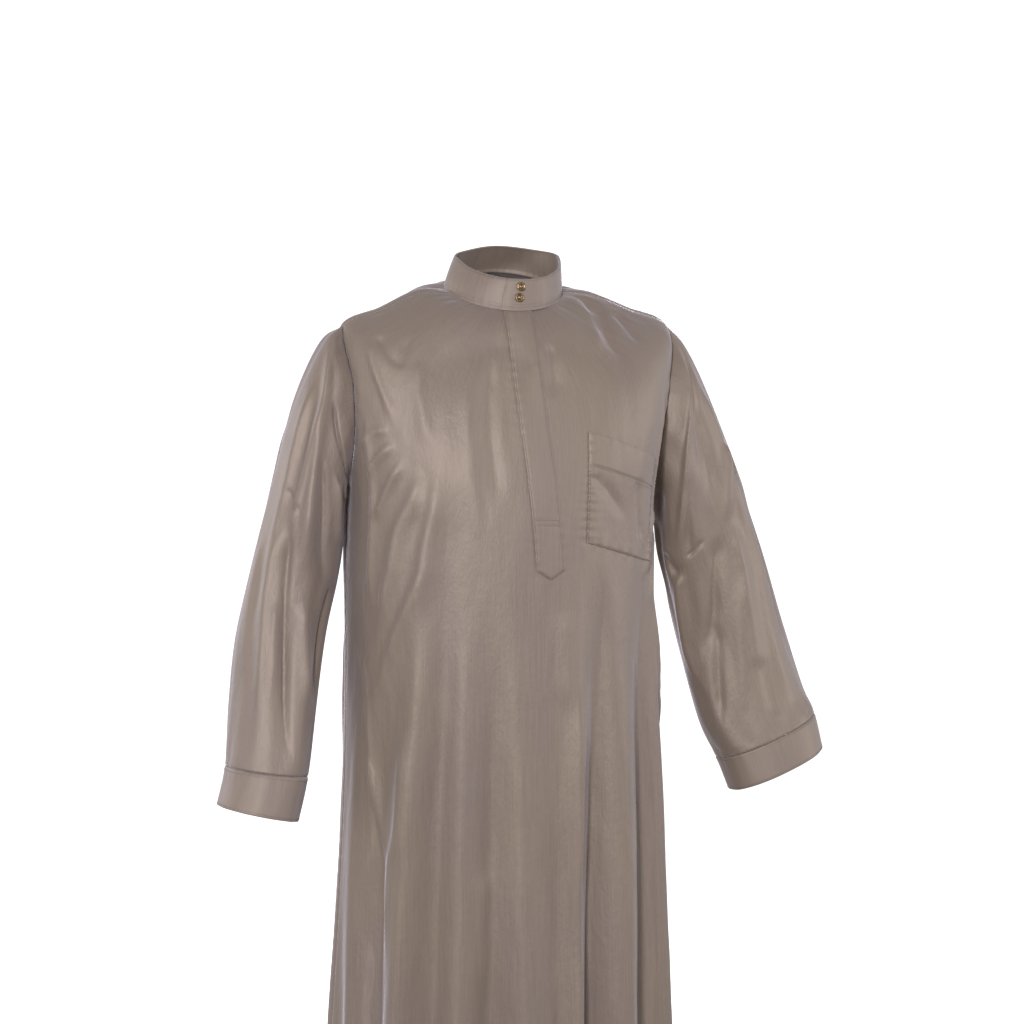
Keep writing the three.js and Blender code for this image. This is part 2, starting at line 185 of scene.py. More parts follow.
GIRTH_RADIUS = 165  # turns an angle round the body into millimetres along the cloth


def wrapped(angle):
    return (np.asarray(angle) + 180) % 360 - 180


def long_folds(angle, level, z):
    levels = between(BODY_LEVELS, level)
    radius = (levels[..., 0] + np.where(np.abs(wrapped(angle)) < 90, levels[..., 1], levels[..., 2])) / 2
    height = np.zeros_like(z)
    for top, hem, top_z, full_z, rise, width in LONG_FOLDS:
        share = np.clip((z - top_z) / (HEM_Z - top_z), 0, 1)
        middle = top + (hem - top) * smooth(share, 0, 0.7)
        grown = smooth(-z, -top_z, -full_z)
        flared = 1 + (HEM_FLARE - 1) * np.clip((full_z - z) / (full_z - HEM_Z), 0, 1)
        across = np.radians(wrapped(angle - middle)) * radius / width
        height += FOLD_DEPTH * rise * grown * flared * np.exp(-np.abs(across) ** 1.6)
    return height


print(len(LONG_FOLDS), "long folds")

# %% [markdown]
# ## A crease
# A crease could be sculpted with a brush, but a path says exactly where it goes and can be moved later. The
# nearest place on the path is found for each point of the cloth. The height fades with the distance from
# the path and towards its two ends.

# %% A crease along a path


FADE_IN, FADE_OUT = 0.2, 0.35  # the shares of its length over which a crease rises and dies out


def curve_through(points, steps=6):
    """More points on a smooth curve through a few."""
    points = np.asarray(points, float)
    if len(points) < 3:
        steps = 2
    places = np.linspace(0, len(points) - 1, steps * (len(points) - 1) + 1)
    return between(points, places)


def crease(u, v, path, height, left, right):
    """A ridge, or a trough where height is below 0, along a path over cloth measured in millimetres.

    left and right are its widths on either side of the path.
    """
    path = curve_through(path)
    total = np.zeros_like(u)
    reach = 3 * max(left, right)
    low, high = path.min(0) - reach, path.max(0) + reach
    near = (u > low[0]) & (u < high[0]) & (v > low[1]) & (v < high[1])
    if not near.any():
        return total
    pu, pv = u[near], v[near]
    best = np.full(pu.shape, 1e9)
    signed = np.zeros_like(pu)
    along = np.zeros_like(pu)
    lengths = np.linalg.norm(np.diff(path, axis=0), axis=1)
    run = np.concatenate([[0], np.cumsum(lengths)])
    for (x0, y0), (x1, y1), length, before in zip(path[:-1], path[1:], lengths, run[:-1]):
        du, dv = (x1 - x0) / length, (y1 - y0) / length
        t = np.clip((pu - x0) * du + (pv - y0) * dv, 0, length)
        off_u, off_v = pu - x0 - t * du, pv - y0 - t * dv
        off = np.hypot(off_u, off_v)
        closer = off < best
        best = np.where(closer, off, best)
        signed = np.where(closer, off_u * dv - off_v * du, signed)
        along = np.where(closer, before + t, along)
    share = along / run[-1]
    width = np.where(signed < 0, left, right)
    faded = smooth(share, 0, FADE_IN) * (1 - smooth(share, 1 - FADE_OUT, 1))
    total[near] = height * faded * np.exp(-(best / width) ** 1.7)
    return total


trial = crease(np.zeros(1), np.full(1, 20.0), [(0, 0), (0, 40)], 5, 8, 8)
print("a 5 mm crease is", trial.round(2)[0], "mm high half way along")

# %% [markdown]
# ## Uneven swells
# Between its folds worn cloth is never quite even. A few sine waves of different directions, added up, make
# soft swells that don't repeat. Their directions are drawn with a fixed seed, so each run gives the same.

# %% Swells


def waves(u, v, length_u, length_v, seed, count=7):
    """Gentle uneven swells, about 1 high, with a fixed seed."""
    rng = np.random.default_rng(seed)
    total = np.zeros_like(u)
    for _ in range(count):
        turn_u, turn_v = rng.uniform(0.5, 1.5, 2) * rng.choice([-1, 1], 2)
        phase = rng.uniform(0, 2 * np.pi)
        total += np.sin(2 * np.pi * (turn_u * u / length_u + turn_v * v / length_v) + phase)
    return total / math.sqrt(count / 2)


print("swells over 200 mm:", waves(np.arange(0, 200, 50.0), np.zeros(4), 95, 420, 3).round(2))

# %% [markdown]
# ## The sleeves
# A set-in sleeve starts as the oval of the armhole and turns into the oval of the wrist. The same reading
# between rows makes it a loft: the first ring is the armhole on the body, and the others are ovals from
# a table. A place on a sleeve is an angle (0 on its outer edge, 90 on its back, 180 under the arm, 270 on
# its front) and a section. side is 1 on the wearer's left and -1 on the right.

# %% Section tables of the sleeves
# outer x, outer z, inner x, inner z, y, depth
SLEEVE_SECTIONS = {
    -1: np.array([
        [224, -74, 198, -259, 0, 50], [256, -146, 200, -280, 2, 55], [283, -248, 201, -318, 5, 58],
        [308, -346, 206, -360, 6, 58], [325, -422, 220, -420, 0, 58], [335, -500, 234, -502, -14, 57],
        [344, -571, 250, -584, -33, 55], [356, -615, 264, -635, -44, 54],
    ]),
    1: np.array([
        [234, -74, 196, -259, 0, 50], [268, -144, 198, -282, 2, 54], [303, -230, 203, -330, 4, 54],
        [339, -331, 214, -375, 4, 53], [365, -421, 231, -450, 0, 52], [382, -493, 251, -536, -14, 50],
        [394, -526, 270, -580, -25, 48], [401, -568, 283, -619, -35, 46],
    ]),
}
SLEEVE_SQUARENESS = 2.15
CUFF_SECTION, WRIST_SECTION = 7, 8
SLEEVE_LENGTHS = np.array([0, 30, 105, 205, 300, 378, 455, 530, 578])  # from the armhole, at each section
SLEEVE_RADIUS = 55  # turns an angle round a sleeve into millimetres along the cloth


print("sleeve sections:", {side: len(rows) for side, rows in SLEEVE_SECTIONS.items()})

# %% [markdown]
# ## From the armhole to the wrist
# The armhole is a line on the body, so the sleeve's first ring is read from the body itself. That way the
# two meet all round, whatever is changed in the tables later.

# %% Sleeve form


def armhole_angle(on_front, level):
    reach = between(ARMHOLE_EDGES, 2 * (np.clip(level, SHOULDER_LEVEL, UNDERARM_LEVEL) - SHOULDER_LEVEL))
    edge = np.where(on_front, reach[..., 0], reach[..., 1])
    on_seam = SHOULDER_SEAM[0] + (SHOULDER_SEAM[1] - SHOULDER_SEAM[0]) * level / SHOULDER_LEVEL
    edge = np.where(level <= SHOULDER_LEVEL, on_seam, edge)
    return np.where(level >= UNDERARM_LEVEL, SIDE_SEAM, edge)


def body_surface(angle, level):
    base = body_form(angle, level)
    height = long_folds(angle, level, base[..., 2])
    return base + normals_of(body_form, angle, level) * height[..., None]


def armhole_level(angle):
    return SHOULDER_LEVEL + (UNDERARM_LEVEL - SHOULDER_LEVEL) * (1 - np.cos(np.radians(angle))) / 2


def sleeve_form(side, angle, place):
    angle = np.asarray(angle, float) % 360
    level = armhole_level(angle)
    rings = [body_surface(side * armhole_angle(angle > 180, level), level)]
    across = signed_power(np.cos(np.radians(angle)), 2 / SLEEVE_SQUARENESS)
    behind = signed_power(np.sin(np.radians(angle)), 2 / SLEEVE_SQUARENESS)
    for outer_x, outer_z, inner_x, inner_z, y, depth in SLEEVE_SECTIONS[side]:
        rings.append(np.stack([
            side * ((outer_x + inner_x) / 2 + (outer_x - inner_x) / 2 * across),
            y + depth * behind,
            (outer_z + inner_z) / 2 + (outer_z - inner_z) / 2 * across,
        ], -1))
    return between(np.stack(rings), place)


wrist = sleeve_form(1, np.array([0.0]), np.array([8.0]))[0]
print("outer edge of the left wrist:", wrist.round(1), "mm")

# %% [markdown]
# ## Creases on the body
# Folds that only some of the cloth has are drawn on it like pencil lines. Each is a path over the cloth, with
# the height of its ridge (or the depth of its trough, below 0) and how far it spreads to each side. One side
# is often steeper than the other, and that is what makes a crease look pressed and not like a wave.

# %% Crease tables of the body
# How far the cloth has run down from the neck seam, in millimetres, at each level.
BODY_RUN = np.array([0, 40, 90, 146, 194, 242, 292, 356, 492, 682, 882, 1132, 1407])
CREASE_DEPTH = 1.6
# path of (angle, run), height, spread towards smaller angles, spread towards larger angles
FRONT_CREASES = [
    ([(-36, 249), (-44, 291), (-51, 334), (-62, 459)], 5, 9, 16),
    ([(-30, 236), (-37, 330), (-41, 380), (-53, 451), (-65, 515), (-68, 541)], 5, 8, 15),
    ([(-68, 572), (-65, 610), (-59, 678), (-55, 706)], 2.4, 4, 8),
    ([(-46, 538), (-48, 591), (-50, 659), (-55, 714), (-56, 850)], 4, 7, 13),
    ([(-16, 700), (-17, 780), (-16, 860)], 2, 8, 8),
    ([(10, 410), (10, 470), (10, 530)], 2, 10, 8),
    ([(17.5, 560), (16, 644), (14, 754), (12, 860)], -3, 3, 8),
    ([(25, 345), (25, 511), (22, 686), (20, 770), (18, 860)], -2.5, 8, 6),
    ([(60, 370), (66, 480), (70, 583), (69, 720), (68, 880)], 4, 5, 11),
    ([(-66, 276), (-58, 254), (-48, 230)], 3, 5, 4),
    ([(-64, 318), (-55, 282), (-44, 243)], 3, 6, 5),
    ([(-70, 254), (-60, 232), (-50, 218)], 2, 4, 4),
    ([(-64, 214), (-65, 300), (-68, 410)], 2.6, 3.5, 7),
    ([(-66, 122), (-56, 134), (-47, 146)], -1.8, 6, 6),
    ([(-47, 146), (-50, 126), (-55, 100)], -1.6, 5, 7),
    ([(-66, 132), (-56, 175), (-49, 214)], 2.4, 6, 9),
    ([(-42, 120), (-38, 170), (-34, 230)], 1.6, 9, 10),
    ([(72, 26), (56, 50), (40, 82)], -3, 9, 9),
    ([(70, 42), (46, 88), (40, 138)], -3.4, 10, 8),
    ([(69, 69), (62, 92), (54, 122)], -2.6, 8, 7),
    ([(60, 40), (44, 70), (30, 100)], 2, 8, 8),
    ([(12, 62), (9, 104), (6, 145)], -2.4, 5, 9),
    ([(-17, 84), (-13, 170), (-9, 292)], -2.4, 10, 5),
    ([(-24, 60), (-21, 150), (-18, 270), (-17, 380)], 1.6, 9, 9),
    ([(17, 240), (27, 270), (37, 303)], -1.8, 7, 6),
    ([(42, 262), (45, 300), (49, 346)], -2.2, 6, 7),
    ([(60, 196), (62, 250), (60, 330)], 2.2, 6, 6),
    ([(66, 300), (58, 330), (50, 380)], 2.6, 6, 7),
    ([(68, 320), (62, 360), (58, 420)], 2, 5, 7),
    ([(-89, 452), (-80, 448), (-72, 470), (-68, 520), (-67, 682), (-86, 712)], 1.3, 3, 3),
    ([(89, 470), (80, 466), (72, 486), (68, 540), (67, 684), (86, 712)], 1.3, 3, 3),
]
BACK_CREASES = [
    ([(112, 262), (124, 238), (136, 226)], 3, 6, 6), ([(114, 300), (126, 262), (140, 240)], 2.6, 7, 6),
    ([(248, 258), (238, 232), (226, 220)], 3, 6, 6), ([(246, 306), (236, 268), (222, 244)], 2.4, 6, 7),
    ([(130, 60), (150, 96), (168, 108)], -2.4, 10, 10), ([(228, 62), (212, 92), (196, 104)], -2.2, 11, 10),
    ([(150, 44), (180, 62), (208, 46)], 1.8, 8, 8), ([(128, 300), (133, 420), (136, 560)], 3, 8, 13),
    ([(226, 290), (222, 400), (219, 540)], 3, 13, 8), ([(160, 330), (163, 480), (166, 640)], -2.4, 10, 8),
    ([(196, 360), (194, 500), (192, 700)], 2.4, 9, 9), ([(112, 420), (108, 560), (110, 760)], 3, 6, 11),
    ([(250, 400), (253, 540), (251, 800)], 3.2, 11, 6), ([(176, 140), (180, 200), (178, 280)], -1.6, 12, 12),
]


print(len(FRONT_CREASES), "creases on the front,", len(BACK_CREASES), "on the back")

# %% [markdown]
# ## Adding the creases up
# Paths are easy to think of as angles and lengths, but a width only means something in millimetres. So an
# angle is first turned into a length round the cloth, and the creases are added up there.

# %% Creases on cloth


def level_at(run):
    return np.interp(run, BODY_RUN, np.arange(len(BODY_RUN)))


def run_at(level):
    return np.interp(level, np.arange(len(BODY_RUN)), BODY_RUN)


def creases_on(u, v, table, radius):
    """All the creases of a table, added up. u and v are in millimetres."""
    total = np.zeros_like(u)
    for path, height, left, right in table:
        flat_path = [(math.radians(angle) * radius, run) for angle, run in path]
        total += crease(u, v, flat_path, height, left, right)
    return total


print("the hem is", run_at(HEM_LEVEL), "mm down the cloth from the neck seam")

# %% [markdown]
# ## The opening and the pull of the seams
# The opening down the front leans a little to the wearer's left. Near every row of stitching the thread draws
# the cloth up into short puckers. A pucker is a small wave along the seam that dies out a few millimetres
# away from it.

# %% Opening line and puckers
PLACKET_HALF = 17.5
PLACKET_TOP, PLACKET_BAR, PLACKET_TIP = -39.5, -287, -356
# x and z of each corner, from the top one by the placket.
POCKET_CORNERS = np.array([(69, -183), (166, -212), (154, -336), (63, -313)])


def opening_x(z):
    return -3 + 22 * smooth(-z, 60, 420)


def pucker(off, along, pitch, reach, seed):
    """Short waves along a seam: off is the distance from it and along the distance down it."""
    rng = np.random.default_rng(seed)
    phase = rng.uniform(0, 2 * np.pi, 3)
    wave = (np.sin(2 * np.pi * along / pitch + phase[0] + 1.4 * np.sin(along / (pitch * 2.3) + phase[1]))
            * (0.65 + 0.35 * np.sin(along / (pitch * 3.7) + phase[2])))
    return wave * np.exp(-np.abs(off) / reach)


print("the opening's middle at the bar: x =", round(float(opening_x(PLACKET_BAR)), 1), "mm")

# %% [markdown]
# ## Puckers on the front
# The placket and the pocket are stitched through the front, so it puckers along both edges of one and all
# four edges of the other. The pocket's top edge isn't sewn down, so it puckers least.

# %% Puckers on the front


POCKET_PUCKERS = [(0.35, 15), (0.75, 12), (0.7, 14), (0.8, 11)]  # height and pitch for each of its edges


def distance_to_line(x, z, start, end):
    """Distance from a line drawn on the front in x and z, and how far along it the nearest place is."""
    (x0, z0), (x1, z1) = start, end
    length = math.hypot(x1 - x0, z1 - z0)
    du, dv = (x1 - x0) / length, (z1 - z0) / length
    t = np.clip((x - x0) * du + (z - z0) * dv, 0, length)
    return np.hypot(x - x0 - t * du, z - z0 - t * dv), t


def front_puckers(x, z):
    """Puckers beside the placket, and round the chest pocket."""
    on_placket = smooth(z, PLACKET_TIP - 8, PLACKET_TIP + 12)
    total = np.zeros_like(x)
    for edge, height, seed in ((-1, 0.3, 11), (1, 0.2, 12)):
        off = x - opening_x(z) - edge * PLACKET_HALF
        total += height * on_placket * pucker(off, z, 13, 7, seed)
    for k, (height, pitch) in enumerate(POCKET_PUCKERS):
        off, along = distance_to_line(x, z, POCKET_CORNERS[k], POCKET_CORNERS[(k + 1) % 4])
        total += height * pucker(off, along, pitch, 6, 20 + k)
    return total


beside_pocket = front_puckers(np.array([100.0, 110.0, 120.0]), np.array([-340.0, -340.0, -340.0]))
print("puckers under the pocket:", beside_pocket.round(2), "mm")

# %% [markdown]
# ## The cloth of the body
# Here it all comes together. The cloth is the plain form, moved out by the long folds, the creases, the
# swells and the puckers. All but the long folds fade out at the seams, so that neighbours still meet.

# %% Height of the body's cloth


def panel_reach(on_front, level):
    """How many degrees a panel runs from its middle to its edge."""
    edge = armhole_angle(on_front, level)
    return np.where(on_front, edge, 180 - edge)


def body_height(angle, run):
    """How far the cloth stands out from the body form, for angles from -90 to 90 and from 90 to 270."""
    level = level_at(run)
    base = body_form(angle, level)
    x, z = base[..., 0], base[..., 2]
    on_front = np.abs(wrapped(angle)) <= armhole_angle(np.array(True), level) + 0.01
    on_front &= np.asarray(angle) <= 91
    from_middle = np.where(on_front, np.abs(angle), np.abs(np.asarray(angle) - 180))
    to_edge = np.radians(panel_reach(on_front, level) - from_middle) * GIRTH_RADIUS
    u = np.radians(angle) * GIRTH_RADIUS
    free = CREASE_DEPTH * creases_on(u, run, FRONT_CREASES + BACK_CREASES, GIRTH_RADIUS)
    free += 0.5 * waves(u, run, 95, 420, 3) + 0.12 * waves(u, run, 34, 130, 4)
    free += np.where(on_front, front_puckers(x, z), 0)
    free *= smooth(to_edge, 0, 16) * smooth(run, 0, 14)
    seam_pull = 0.75 * pucker(to_edge, run, 17, 9, 5) * smooth(to_edge, 0, 3) * smooth(run, 60, 90)
    neck_pull = 0.5 * pucker(run, u, 15, 8, 6) * smooth(run, 0, 3)
    return long_folds(angle, level, z) + free + seam_pull + neck_pull


def body_cloth(angle, run, lift=0.0):
    """Points on the cloth of the body, and the directions in which they are lifted off it."""
    level = level_at(run)
    normal = normals_of(body_form, angle, level)
    return body_form(angle, level) + normal * (body_height(angle, run) + lift)[..., None], normal


hem_heights = body_height(np.arange(-60, 61, 30.0), np.full(5, 1400.0))
print("folds at the hem stand out by", hem_heights.round(1), "mm")

# %% [markdown]
# ## From a grid of points to a sheet of cloth
# Every piece here is a grid of points on its outer face, in rows and columns. One helper turns such a grid
# into a mesh with a UV map in metres, so that a weave has its true size, and gives it a thickness with the
# Solidify modifier. The modifier is applied at once, because the piece is finished then.

# %% Thickness
PARTS = {}


def thickened(piece, thickness):
    wall = piece.modifiers.new("wall", "SOLIDIFY")
    wall.thickness = thickness * MM
    wall.offset = -1
    wall.use_even_offset = False
    solid = bpy.data.meshes.new_from_object(piece.evaluated_get(bpy.context.evaluated_depsgraph_get()))
    piece.modifiers.clear()
    thin = piece.data
    piece.data = solid
    solid.name = piece.name
    bpy.data.meshes.remove(thin)
    PARTS[piece.name] = piece
    area = sum(face.area for face in solid.polygons) / 2
    print(f"{piece.name}: {len(solid.polygons)} faces, {area:.4f} square metres")
    return piece


print("Solidify grows each wall inwards, and", len(PARTS), "pieces are made so far")

# %% [markdown]
# ## The grid and its flat pattern
# A face is made between each four neighbouring points. The UV map isn't unwrapped by Blender: the place of
# each point on the flat cloth is already known, so it is written straight in. On a tube the last column joins
# the first, and its UV has to run on past the end and not jump back. A column is left out to open a slit.

# %% Cloth from a grid


def cloth_mesh(name, points, across, down, thickness, looped=False, skip_column=None):
    """A piece of cloth from rows of points in mm. across and down are its flat places in metres."""
    rows, columns = points.shape[:2]
    index = np.arange(rows * columns).reshape(rows, columns)
    right = np.roll(index, -1, axis=1) if looped else index[:, 1:]
    left = index if looped else index[:, :-1]
    quads = np.stack([left[:-1], left[1:], right[1:], right[:-1]], -1)
    flat = np.stack([across, down], -1)
    next_flat = np.roll(flat, -1, axis=1) if looped else flat[:, 1:]
    this_flat = flat if looped else flat[:, :-1]
    if looped:
        next_flat = next_flat.copy()
        next_flat[:, -1, 0] = flat[:, -1, 0] + (flat[:, -1, 0] - flat[:, -2, 0])
    corner_flat = np.stack([this_flat[:-1], this_flat[1:], next_flat[1:], next_flat[:-1]], 2)
    if skip_column is not None:
        keep = np.arange(quads.shape[1]) != skip_column
        quads, corner_flat = quads[:, keep], corner_flat[:, keep]
    mesh = bpy.data.meshes.new(name)
    mesh.from_pydata((points.reshape(-1, 3) * MM).tolist(), [], quads.reshape(-1, 4).tolist())
    uv = mesh.uv_layers.new(name="cloth")
    uv.data.foreach_set("uv", corner_flat.reshape(-1))
    mesh.polygons.foreach_set("use_smooth", np.ones(len(mesh.polygons), bool))
    piece = bpy.data.objects.new(name, mesh)
    bpy.context.scene.collection.objects.link(piece)
    if skip_column is not None:
        welded = bmesh.new()
        welded.from_mesh(mesh)
        bmesh.ops.remove_doubles(welded, verts=welded.verts, dist=1e-5)
        welded.to_mesh(mesh)
        welded.free()
    return thickened(piece, thickness)


print("corners of one face in the flat pattern: top left, bottom left, bottom right, top right")

# %% [markdown]
# ## Edges that go into a seam
# Where two pieces are sewn, both edges roll inwards and vanish into the seam. A few rows and columns are set
# close to each edge, because a roll of a millimetre needs points a millimetre apart.

# %% Edges of the cloth


def rolled(distance, depth, reach=0.8):
    """How far an edge turns in where it goes into a seam, at a distance from the edge."""
    return depth * np.exp(-np.maximum(distance, 0) / reach)


def shares(count, fine, length):
    """Evenly spaced places from 0 to 1, with a few close to both ends for the turn of a seam."""
    close = np.array(fine) / length
    return np.unique(np.round(np.concatenate([np.linspace(0, 1, count), close, 1 - close]), 6))


print("an edge turns in by", rolled(np.array([0, 1, 2]), 1.7).round(2), "mm at 0, 1 and 2 mm from it")

# %% [markdown]
# ## The armhole seam
# At an armhole the body and the sleeve meet at a bend. If each rolled in along its own normal, the seam would
# gape. So both roll in along the line that halves the bend between them, and their edges stay together.

# %% Armhole seam
CLOTH = 0.7
SEAM_TURN = 1.7
def armhole_inward(side, angle):
    """The direction in which both edges of an armhole seam turn in."""
    level = armhole_level(angle)
    body = normals_of(body_surface, side * armhole_angle(angle > 180, level), level)
    top_of_sleeve = np.full(angle.shape, 0.1)
    sleeve = normals_of(lambda a, p: sleeve_form(side, a, p), angle, top_of_sleeve, side * 0.5)
    half = (body + sleeve) / 2
    return half / np.maximum(np.sum(half * half, -1, keepdims=True), 0.36)


def turned_edges(points, normal, level, on_front, distance):
    """Rolls the two side edges of a panel into their seams."""
    inward = normal.copy()
    ring = np.degrees(np.arccos(np.clip(1 - 2 * (level - SHOULDER_LEVEL) / 3, -1, 1)))
    at_armhole = (level >= SHOULDER_LEVEL) & (level <= UNDERARM_LEVEL)
    for column in (0, -1):
        side = 1 if (column == 0) != on_front else -1
        turn = 360 - ring if on_front else ring
        inward[at_armhole, column] = armhole_inward(side, turn)[at_armhole]
    return points - inward * rolled(distance, SEAM_TURN)[..., None]


front_turn = armhole_inward(1, np.array([270.0]))[0]
print("at its front the left armhole seam turns in along", front_turn.round(2))

# %% [markdown]
# ## Front and back
# The front is cut with a slit for the head, which the placket hides. The grid has a column on each side of
# the slit. They stand a little apart down to the bar of the placket, and are merged into one below it, so the
# slit is a true opening and the cloth under it is whole. Rows are closer together at the chest, where the
# creases are, than at the hem.

# %% Front and back panels
ROW_RUNS = np.unique(np.concatenate([
    [0.6, 1.4, 2.4], np.arange(4, 420, 3.2), np.arange(420, 900, 6.2), np.arange(900, 1398, 9),
    [1400.5, 1404, 1407],
]))
SLIT_HALF = 0.8


def front_grid():
    level = level_at(ROW_RUNS)
    reach = panel_reach(np.array(True), level)
    middle_z = body_form(np.zeros_like(level), level)[..., 2]
    s = between(BODY_LEVELS, level)
    split = np.degrees(np.arcsin(np.clip((opening_x(middle_z) - s[..., 8]) / s[..., 0], -1, 1)))
    gap = np.where(middle_z > PLACKET_BAR, np.degrees(SLIT_HALF / s[..., 0]), 0)
    part = shares(80, (0.7, 1.6), 215)
    left = -reach[:, None] + (split - gap + reach)[:, None] * part
    right = (split + gap)[:, None] + (reach - split - gap)[:, None] * part
    return np.concatenate([left, right], 1), len(part) - 1


def panel(name, angle, on_front, skip_column=None):
    run = np.broadcast_to(ROW_RUNS[:, None], angle.shape)
    points, normal = body_cloth(angle, run)
    level = level_at(run)
    from_middle = np.abs(angle) if on_front else np.abs(angle - 180)
    distance = np.radians(panel_reach(np.array(on_front), level) - from_middle) * GIRTH_RADIUS
    points = turned_edges(points, normal, level[:, 0], on_front, distance)
    across = np.radians(angle) * GIRTH_RADIUS * MM
    return cloth_mesh(name, points, across, -run * MM, CLOTH, skip_column=skip_column)


front_angle, slit_column = front_grid()
panel("front_panel_cloth", front_angle, True, slit_column)
back_reach = panel_reach(np.array(False), level_at(ROW_RUNS))
back_angle = 180 + back_reach[:, None] * (2 * shares(150, (0.7, 1.6), 430) - 1)
panel("back_panel_cloth", back_angle, False)

# %% [markdown]
# ## Sleeves and cuffs
# The sleeves hang a little in front of the body, with the elbows slack. Most of their folds run from the
# front of the armhole down and round to the inner edge, and the elbow breaks into short cross creases. Both
# sleeves get the same kind of folds, at different places.

# %% Crease tables of the sleeves
# path of (angle, length), height, spread on each side of it
SLEEVE_CREASES = {
    -1: [
        ([(339, 6), (306, 52), (288, 115), (282, 193), (266, 314)], 5, 8, 11),
        ([(316, 236), (316, 300), (304, 401), (309, 478)], 3, 7, 8),
        ([(305, 213), (290, 305), (275, 403), (265, 476), (243, 532)], -4, 4, 8),
        ([(287, 46), (263, 60), (214, 44)], -2.6, 6, 6), ([(279, 112), (262, 190), (242, 306)], -3, 6, 8),
        ([(318, 196), (306, 210), (290, 216)], -1.3, 4, 4), ([(325, 60), (322, 200), (326, 330)], 1.8, 5, 7),
        ([(298, 60), (297, 160), (300, 290)], 2.2, 4, 6), ([(276, 330), (270, 420), (262, 500)], -1.8, 5, 6),
        ([(262, 330), (250, 400), (232, 470)], 3, 7, 8), ([(345, 250), (338, 340), (332, 440)], 2, 8, 9),
        ([(250, 96), (236, 150), (226, 230)], 2.6, 8, 7), ([(228, 40), (220, 70), (204, 92)], 2, 6, 6),
        ([(222, 290), (226, 380), (216, 470)], -3, 8, 6), ([(296, 330), (288, 390), (284, 450)], 1.6, 5, 5),
    ],
    1: [
        ([(330, 12), (284, 75), (269, 147)], -3, 7, 7),
        ([(305, 29), (262, 63), (238, 139), (219, 218)], 3.4, 7, 8),
        ([(321, 140), (300, 190), (282, 240)], 3, 8, 9),
        ([(267, 234), (252, 300), (240, 345), (213, 398)], -3.6, 6, 8),
        ([(215, 258), (198, 339), (196, 393), (217, 433)], 3, 7, 8),
        ([(290, 230), (280, 330), (268, 440)], 2.8, 5, 8),
        ([(240, 345), (241, 366), (229, 416), (215, 473)], -2.6, 6, 6),
        ([(275, 395), (276, 440), (275, 486)], -2, 8, 8),
        ([(190, 196), (200, 230), (210, 282)], -2.6, 6, 6), ([(296, 60), (282, 130), (276, 200)], -2.2, 8, 8),
        ([(306, 300), (300, 380), (302, 470)], 2.2, 8, 9), ([(252, 226), (240, 236), (226, 236)], -1.4, 4, 4),
        ([(318, 60), (310, 180), (306, 300)], 2.2, 5, 7), ([(336, 210), (328, 320), (326, 440)], -2, 6, 8),
        ([(250, 90), (240, 170), (232, 260)], -2, 5, 6), ([(280, 300), (262, 380), (246, 460)], 1.8, 5, 6),
    ],
}
HIDDEN_SLEEVE_CREASES = [
    ([(40, 60), (48, 180), (58, 330), (60, 500)], 5, 13, 15), ([(78, 120), (82, 260), (84, 480)], -5, 11, 11),
    ([(114, 80), (116, 240), (118, 470)], 4, 15, 15), ([(150, 60), (148, 170), (156, 330)], -3, 12, 10),
    ([(60, 190), (84, 214), (112, 208)], -1.1, 8, 8), ([(66, 236), (90, 250), (118, 240)], 1, 8, 9),
    ([(172, 90), (178, 220), (182, 420)], -3, 10, 12),
]


print(sum(len(rows) for rows in SLEEVE_CREASES.values()), "creases shown on the sleeves")

# %% [markdown]
# ## The cloth of a sleeve
# A sleeve is a tube, so a crease that starts near angle 0 may cross over to 359. Each crease is therefore
# also tried one turn up and one turn down. The cuff holds the cloth, so the folds shrink just above its seam.

# %% Height of a sleeve's cloth
SLEEVE_CREASE_DEPTH = 1.8


def section_at(length):
    return np.interp(length, SLEEVE_LENGTHS, np.arange(len(SLEEVE_LENGTHS)))


def sleeve_cloth(side, angle, length, lift=0.0):
    """Points on a sleeve or its cuff, and the outward directions."""
    place = section_at(length)
    normal = normals_of(lambda a, p: sleeve_form(side, a, p), angle, place, side * 0.5)
    u = np.radians(angle) * SLEEVE_RADIUS
    around = []
    for path, height, left, right in SLEEVE_CREASES[side] + HIDDEN_SLEEVE_CREASES:
        for turn in (-360, 0, 360):
            if -60 < path[0][0] + turn < 420:
                around.append(([(a + turn, run) for a, run in path], height, left, right))
    folds = SLEEVE_CREASE_DEPTH * creases_on(u, length, around, SLEEVE_RADIUS)
    turn = np.radians(angle)
    swells = 0.9 * (np.sin(3 * turn + length / 60) + np.sin(5 * turn - length / 90 + side))
    swells += 0.8 * np.sin(8 * turn + length / 70 + 2 * side) + 0.35 * np.sin(13 * turn - length / 45)
    cuff_seam = SLEEVE_LENGTHS[CUFF_SECTION]
    free = (folds + swells) * smooth(length, 0, 22) * (1 - 0.55 * smooth(length, cuff_seam - 20, cuff_seam))
    round_run = u * (1 + 0 * length)
    pulls = 0.45 * pucker(length, round_run, 14, 9, 31 + side) * smooth(length, 0, 4)
    off_cuff = length - cuff_seam
    pulls += 0.6 * pucker(off_cuff, round_run, 13, 7, 41 + side) * smooth(np.abs(off_cuff), 0, 2)
    return sleeve_form(side, angle, place) + normal * (free + pulls + lift)[..., None], normal


spot, _ = sleeve_cloth(-1, np.array([300.0]), np.array([250.0]))
print("a place at the front of the right elbow:", spot[0].round(1), "mm")

# %% [markdown]
# ## Four tubes
# Each sleeve and each cuff is the same kind of grid turned into a tube. The cuff is folded double, so it is
# thicker and stands a little prouder, and its lower edge is softly rounded.

# %% Sleeves and cuffs
CUFF_CLOTH = 1.4
SLEEVE_COLUMNS = 132


